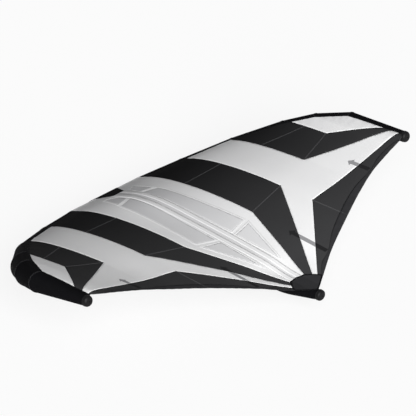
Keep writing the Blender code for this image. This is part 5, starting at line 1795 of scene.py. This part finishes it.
def make_ring_patch(name, here, inner, outer):
    """Round patch on the tube's middle panel that stiffens it about a fitting, and its seam"""
    radii = np.linspace(inner, outer, 6)
    turns = np.arange(65) / 64 * math.tau
    verts = [on_tube(here, r * math.cos(t), r * math.sin(t), 0.0011 if r < outer else 0.0007)
             for r in radii for t in turns]
    uvs = [(r * math.cos(t), r * math.sin(t)) for r in radii for t in turns]
    piece = weld(make_piece(name, verts, grid_faces(len(radii), len(turns)), "grey_dacron", (),
                            uvs))
    way = away_at(here)
    thicken(turn_outwards(piece, verts[0], way), 0.0006)
    seam = outer - seam_inset
    line = [on_tube(here, seam * math.cos(t), seam * math.sin(t), 0.0015) for t in turns]
    return line, [way] * len(line)


def make_cap(name, here, inner, length, nodes):
    """Domed cap with a rolled edge, a groove round its skirt and a lacing eye in its crown"""
    outer = inner + cap_wall
    bend = length - cap_wall
    profile = [(inner, 0), (outer + 0.0004, 0), (outer + 0.0008, 0.0012),
               (outer + 0.0004, 0.0026), (outer, 0.0030)]
    profile = [(r, z - cap_skirt) for r, z in profile]
    turns = np.linspace(0, math.pi / 2, 12)
    profile += [(outer - bend * (1 - math.cos(a)), bend * math.sin(a) + cap_wall) for a in turns]
    profile += [(2 * cap_wall, length), (2 * cap_wall, bend)]
    profile += [(inner - bend * (1 - math.cos(a)), bend * math.sin(a)) for a in turns[::-1]]
    count = 73
    verts = [here @ Vector((r * math.cos(t), r * math.sin(t), z))
             for t in np.linspace(0, math.tau, count) for r, z in [*profile, profile[0]]]
    faces = grid_faces(count, len(profile) + 1)
    recalculate(weld(make_piece(name, verts, faces, "moulded_nylon", nodes, None, 50)))


def make_caps():
    centre, radius = le_corners[-1]
    inboard_centre, inboard_radius = le_corners[-2]
    taper = (inboard_radius - radius) / (inboard_centre - centre).length
    here = frame_at(centre, *le_frames()[-1], le_ways[-1][0])
    for side, hand in sides:
        mirror = Matrix.Diagonal((side, 1, 1, 1))
        make_cap(f"tip_cap_{hand}", mirror @ here, radius + taper * cap_skirt + gap,
                 tip_cap_length, [f"le_tip_cap_{hand}"])
    radius, level = strut_section(0)
    here = Matrix.Translation((0, -end_cap_lead, level)) @ Matrix.Rotation(math.pi / 2, 4, "X")
    make_cap("strut_cap", here, radius + gap, end_cap_length, ["strut_end_cap"])


def make_strut():
    """The strut's sleeve, run out of the leading edge to behind the tail"""
    ys = np.linspace(-end_cap_lead, root_length - le_radius * 0.9, 200)
    radii, levels = zip(*(strut_section(y) for y in ys))
    upright = np.cos(np.arctan(np.gradient(levels, ys)))   # its rings lean with its slope
    line = [(0, y, level) for y, level in zip(ys, levels)]
    piece = run_tree(line_object("strut_sleeve_cloth", [(line, [(0, 0, 1)] * len(line))],
                                 (np.array(radii) - 0.0007) * upright),
                     tube_tree, "black_dacron", sides=72)
    thicken(piece, canopy_cloth)
    return keep(piece, "black_dacron", ["strut_sleeve", "strut_bladder"])


def make_strut_seam():
    """The seam that closes the strut's sleeve, low on its port side"""
    angle = math.radians(strut_seam_degrees)
    out = Vector((math.cos(angle), 0, math.sin(angle)))
    way = Vector((-out.z, 0, out.x))
    verts, uvs, lines = [], [], [[], []]
    ys = np.linspace(0.004, root_length - le_radius * 1.25, 150)
    half = strut_seam_tape_width / 2
    for y in ys:
        radius, level = strut_section(y)
        middle = Vector((0, y, level))
        for v, lift in zip((-half, -0.004, 0, 0.004, half), tape_lifts):
            verts.append(middle + (out + way * (v / radius)).normalized() * (radius + lift))
            uvs.append((y, v))
        for line, v in zip(lines, (-half / 2, half / 2)):
            line.append(middle + (out + way * (v / radius)).normalized() * (radius + tube_lift))
    piece = make_piece("strut_seam_tape", verts, grid_faces(len(ys), 5), "black_dacron", (), uvs)
    thicken(turn_outwards(piece, verts[2], out), tape_cloth)
    sew("strut_stitches", [(line, [out] * len(line)) for line in lines], "grey_thread")


# ---- Build

corner_rings = [le_corner_ring(i) for i in range(len(le_corner_shares))]
corner_outs = [away_from(ring, centre, (inboard + outboard).normalized()) for
               ring, (centre, _), (inboard, outboard) in zip(corner_rings, le_corners, le_ways)]

row_tree = make_row_tree()
tube_tree = make_tube_tree()
shapes = {"stitch": make_shape("stitch", build_stitch), "tooth": make_shape("tooth", build_tooth),
          "screw": make_shape("screw", build_screw)}

panels = make_canopy()
tapes = make_tapes()
strip = make_strut_strip()
tail_patch, tail_rim = make_tail_patch()
skirt, skirt_line = make_skirt()
hems, hem_seams = make_hems()
bands, band_seams = zip(*(make_trailing_band(side, hand) for side, hand in sides))
pocket_pieces = [piece for side, hand in sides for piece in make_pockets(side, hand)]
threads = sew_canopy(skirt_line, band_seams)
for sleeve in make_leading_edge():
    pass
make_tube_tapes()
sew_tubes()
make_strut()
make_strut_seam()
make_caps()
sew("hem_stitches", hem_seams, "grey_thread")
nose_patch, nose_stitches = make_nose_patch()
make_nose_handle()
make_leash_loop()
for place_name in ("front", "rear"):
    make_bar(place_name)
    make_grip(place_name)
make_screws()
make_hose()
make_zip()
sew("patch_stitches", [
    make_ring_patch("valve_patch", surface_frame(valve_place, valve_degrees), 0.0222, 0.037),
    make_ring_patch("hose_patch", surface_frame(hose_place, hose_degrees), 0.0118, 0.032)],
    "grey_thread")

# The rigid nodes keep their own solids, with better finishes
node_finishes = {row["node"]: row["material_slot"] for row in frame["record"]["subparts"]}
for name, node in frame["nodes"].items():
    if not node.hide_render:
        node.data.materials.clear()
        node.data.materials.append(materials[node_finishes[name]])
for shape in shapes.values():
    bpy.data.objects.remove(shape)

# The trims that each panel carries, listed with it
carried = {
    "canopy_inner_band_right": [tapes["cross"], threads["black"], threads["grey"]],
    "canopy_centre_right": [tapes["border"], tapes["strut"], strip, threads["white"], *hems],
    "canopy_main_right": [skirt, nose_patch, nose_stitches],
    "canopy_trailing_right": [bands[0], *pocket_pieces[:2], tail_patch, tail_rim],
    "canopy_trailing_left": [bands[1], *pocket_pieces[2:]],
}
for full_name, (panel, width, length, area) in panels.items():
    declare_sheet(panel, width, length, area, carried.get(full_name, []))


# ---- Camera, light and backdrop

camera_azimuth, camera_elevation = -46.37, 29.26   # degrees, round from behind and up
camera_aim = Vector((-0.0451, -0.0472, 0.4572))
camera_distance = 36.8
camera_lens = 521.6           # millimetres, on a sensor 36 mm wide
key_toward, key_spread, key_strength = (-0.75, -1.05, 0.66), 38, 5.7
world_strength = 0.09
gloss_share = 0.3             # of the plain white that gloss shows
floor_share = 0.85            # of the plain white that the camera sees on the floor
floor_white = 0xEBEBEB
floor_reach = 40
floor_level = -0.0018         # under the tapes on the tube


def make_camera():
    """The photograph's view: from behind on the port side, from far off"""
    azimuth, elevation = math.radians(camera_azimuth), math.radians(camera_elevation)
    back = Vector((math.sin(azimuth) * math.cos(elevation),
                   -math.cos(azimuth) * math.cos(elevation), math.sin(elevation)))
    data = bpy.data.cameras.new("camera")
    camera = link("camera", data)
    camera.location = camera_aim + back * camera_distance
    camera.rotation_euler = back.to_track_quat("Z", "Y").to_euler()
    data.lens = camera_lens
    data.sensor_width = 36
    data.clip_end = 200
    bpy.context.scene.camera = camera


def make_key():
    """Soft light from a direction, as from a lamp behind a large diffuser"""
    data = bpy.data.lights.new("key", "SUN")
    data.angle = math.radians(key_spread)
    data.energy = key_strength
    lamp = link("key", data)
    lamp.rotation_euler = Vector(key_toward).to_track_quat("Z", "Y").to_euler()


def seen_white(tree, shader, white, share):
    """A shader that the camera and glass see mostly as plain white, and gloss more dimly"""
    path = add(tree, "ShaderNodeLightPath").outputs
    dimly = add(tree, "ShaderNodeMath", {0: path["Is Glossy Ray"], 1: gloss_share},
                operation="MULTIPLY")
    through = add(tree, "ShaderNodeMath", {0: dimly, 1: path["Is Transmission Ray"]},
                  operation="MAXIMUM")
    seen = add(tree, "ShaderNodeMath", {0: path["Is Camera Ray"], 1: through},
               operation="MAXIMUM")
    mostly = add(tree, "ShaderNodeMath", {0: seen, 1: share}, operation="MULTIPLY")
    return add(tree, "ShaderNodeMixShader", {0: mostly, 1: shader, 2: white})


def make_world():
    world = bpy.data.worlds.new("studio")
    world.use_nodes = True
    tree = world.node_tree
    tree.nodes.clear()
    soft, white = (add(tree, "ShaderNodeBackground", {
        "Color": (1, 1, 1, 1), "Strength": strength}) for strength in (world_strength, 1.0))
    add(tree, "ShaderNodeOutputWorld", {"Surface": seen_white(tree, soft, white, 1.0)})
    bpy.context.scene.world = world


def make_floor():
    """Plain pale floor, nearly white to the camera, which keeps a soft shadow"""
    mesh = bpy.data.meshes.new("floor")
    corners = [(x * floor_reach, y * floor_reach, floor_level)
               for x, y in ((-1, -1), (1, -1), (1, 1), (-1, 1))]
    mesh.from_pydata(corners, [], [(0, 1, 2, 3)])
    floor = link("floor", mesh)
    material, tree = begin_material("floor", 0.9, 0.0, **{"Base Color": linear(floor_white)})
    white = add(tree, "ShaderNodeEmission", {"Color": (1, 1, 1, 1), "Strength": 1.0})
    shader, output = (tree.nodes[label] for label in ("Principled BSDF", "Material Output"))
    tree.links.new(seen_white(tree, shader, white, floor_share).outputs[0],
                   output.inputs["Surface"])
    mesh.materials.append(material)


make_camera()
make_key()
make_world()
make_floor()
bpy.context.scene.view_settings.view_transform = "Standard"
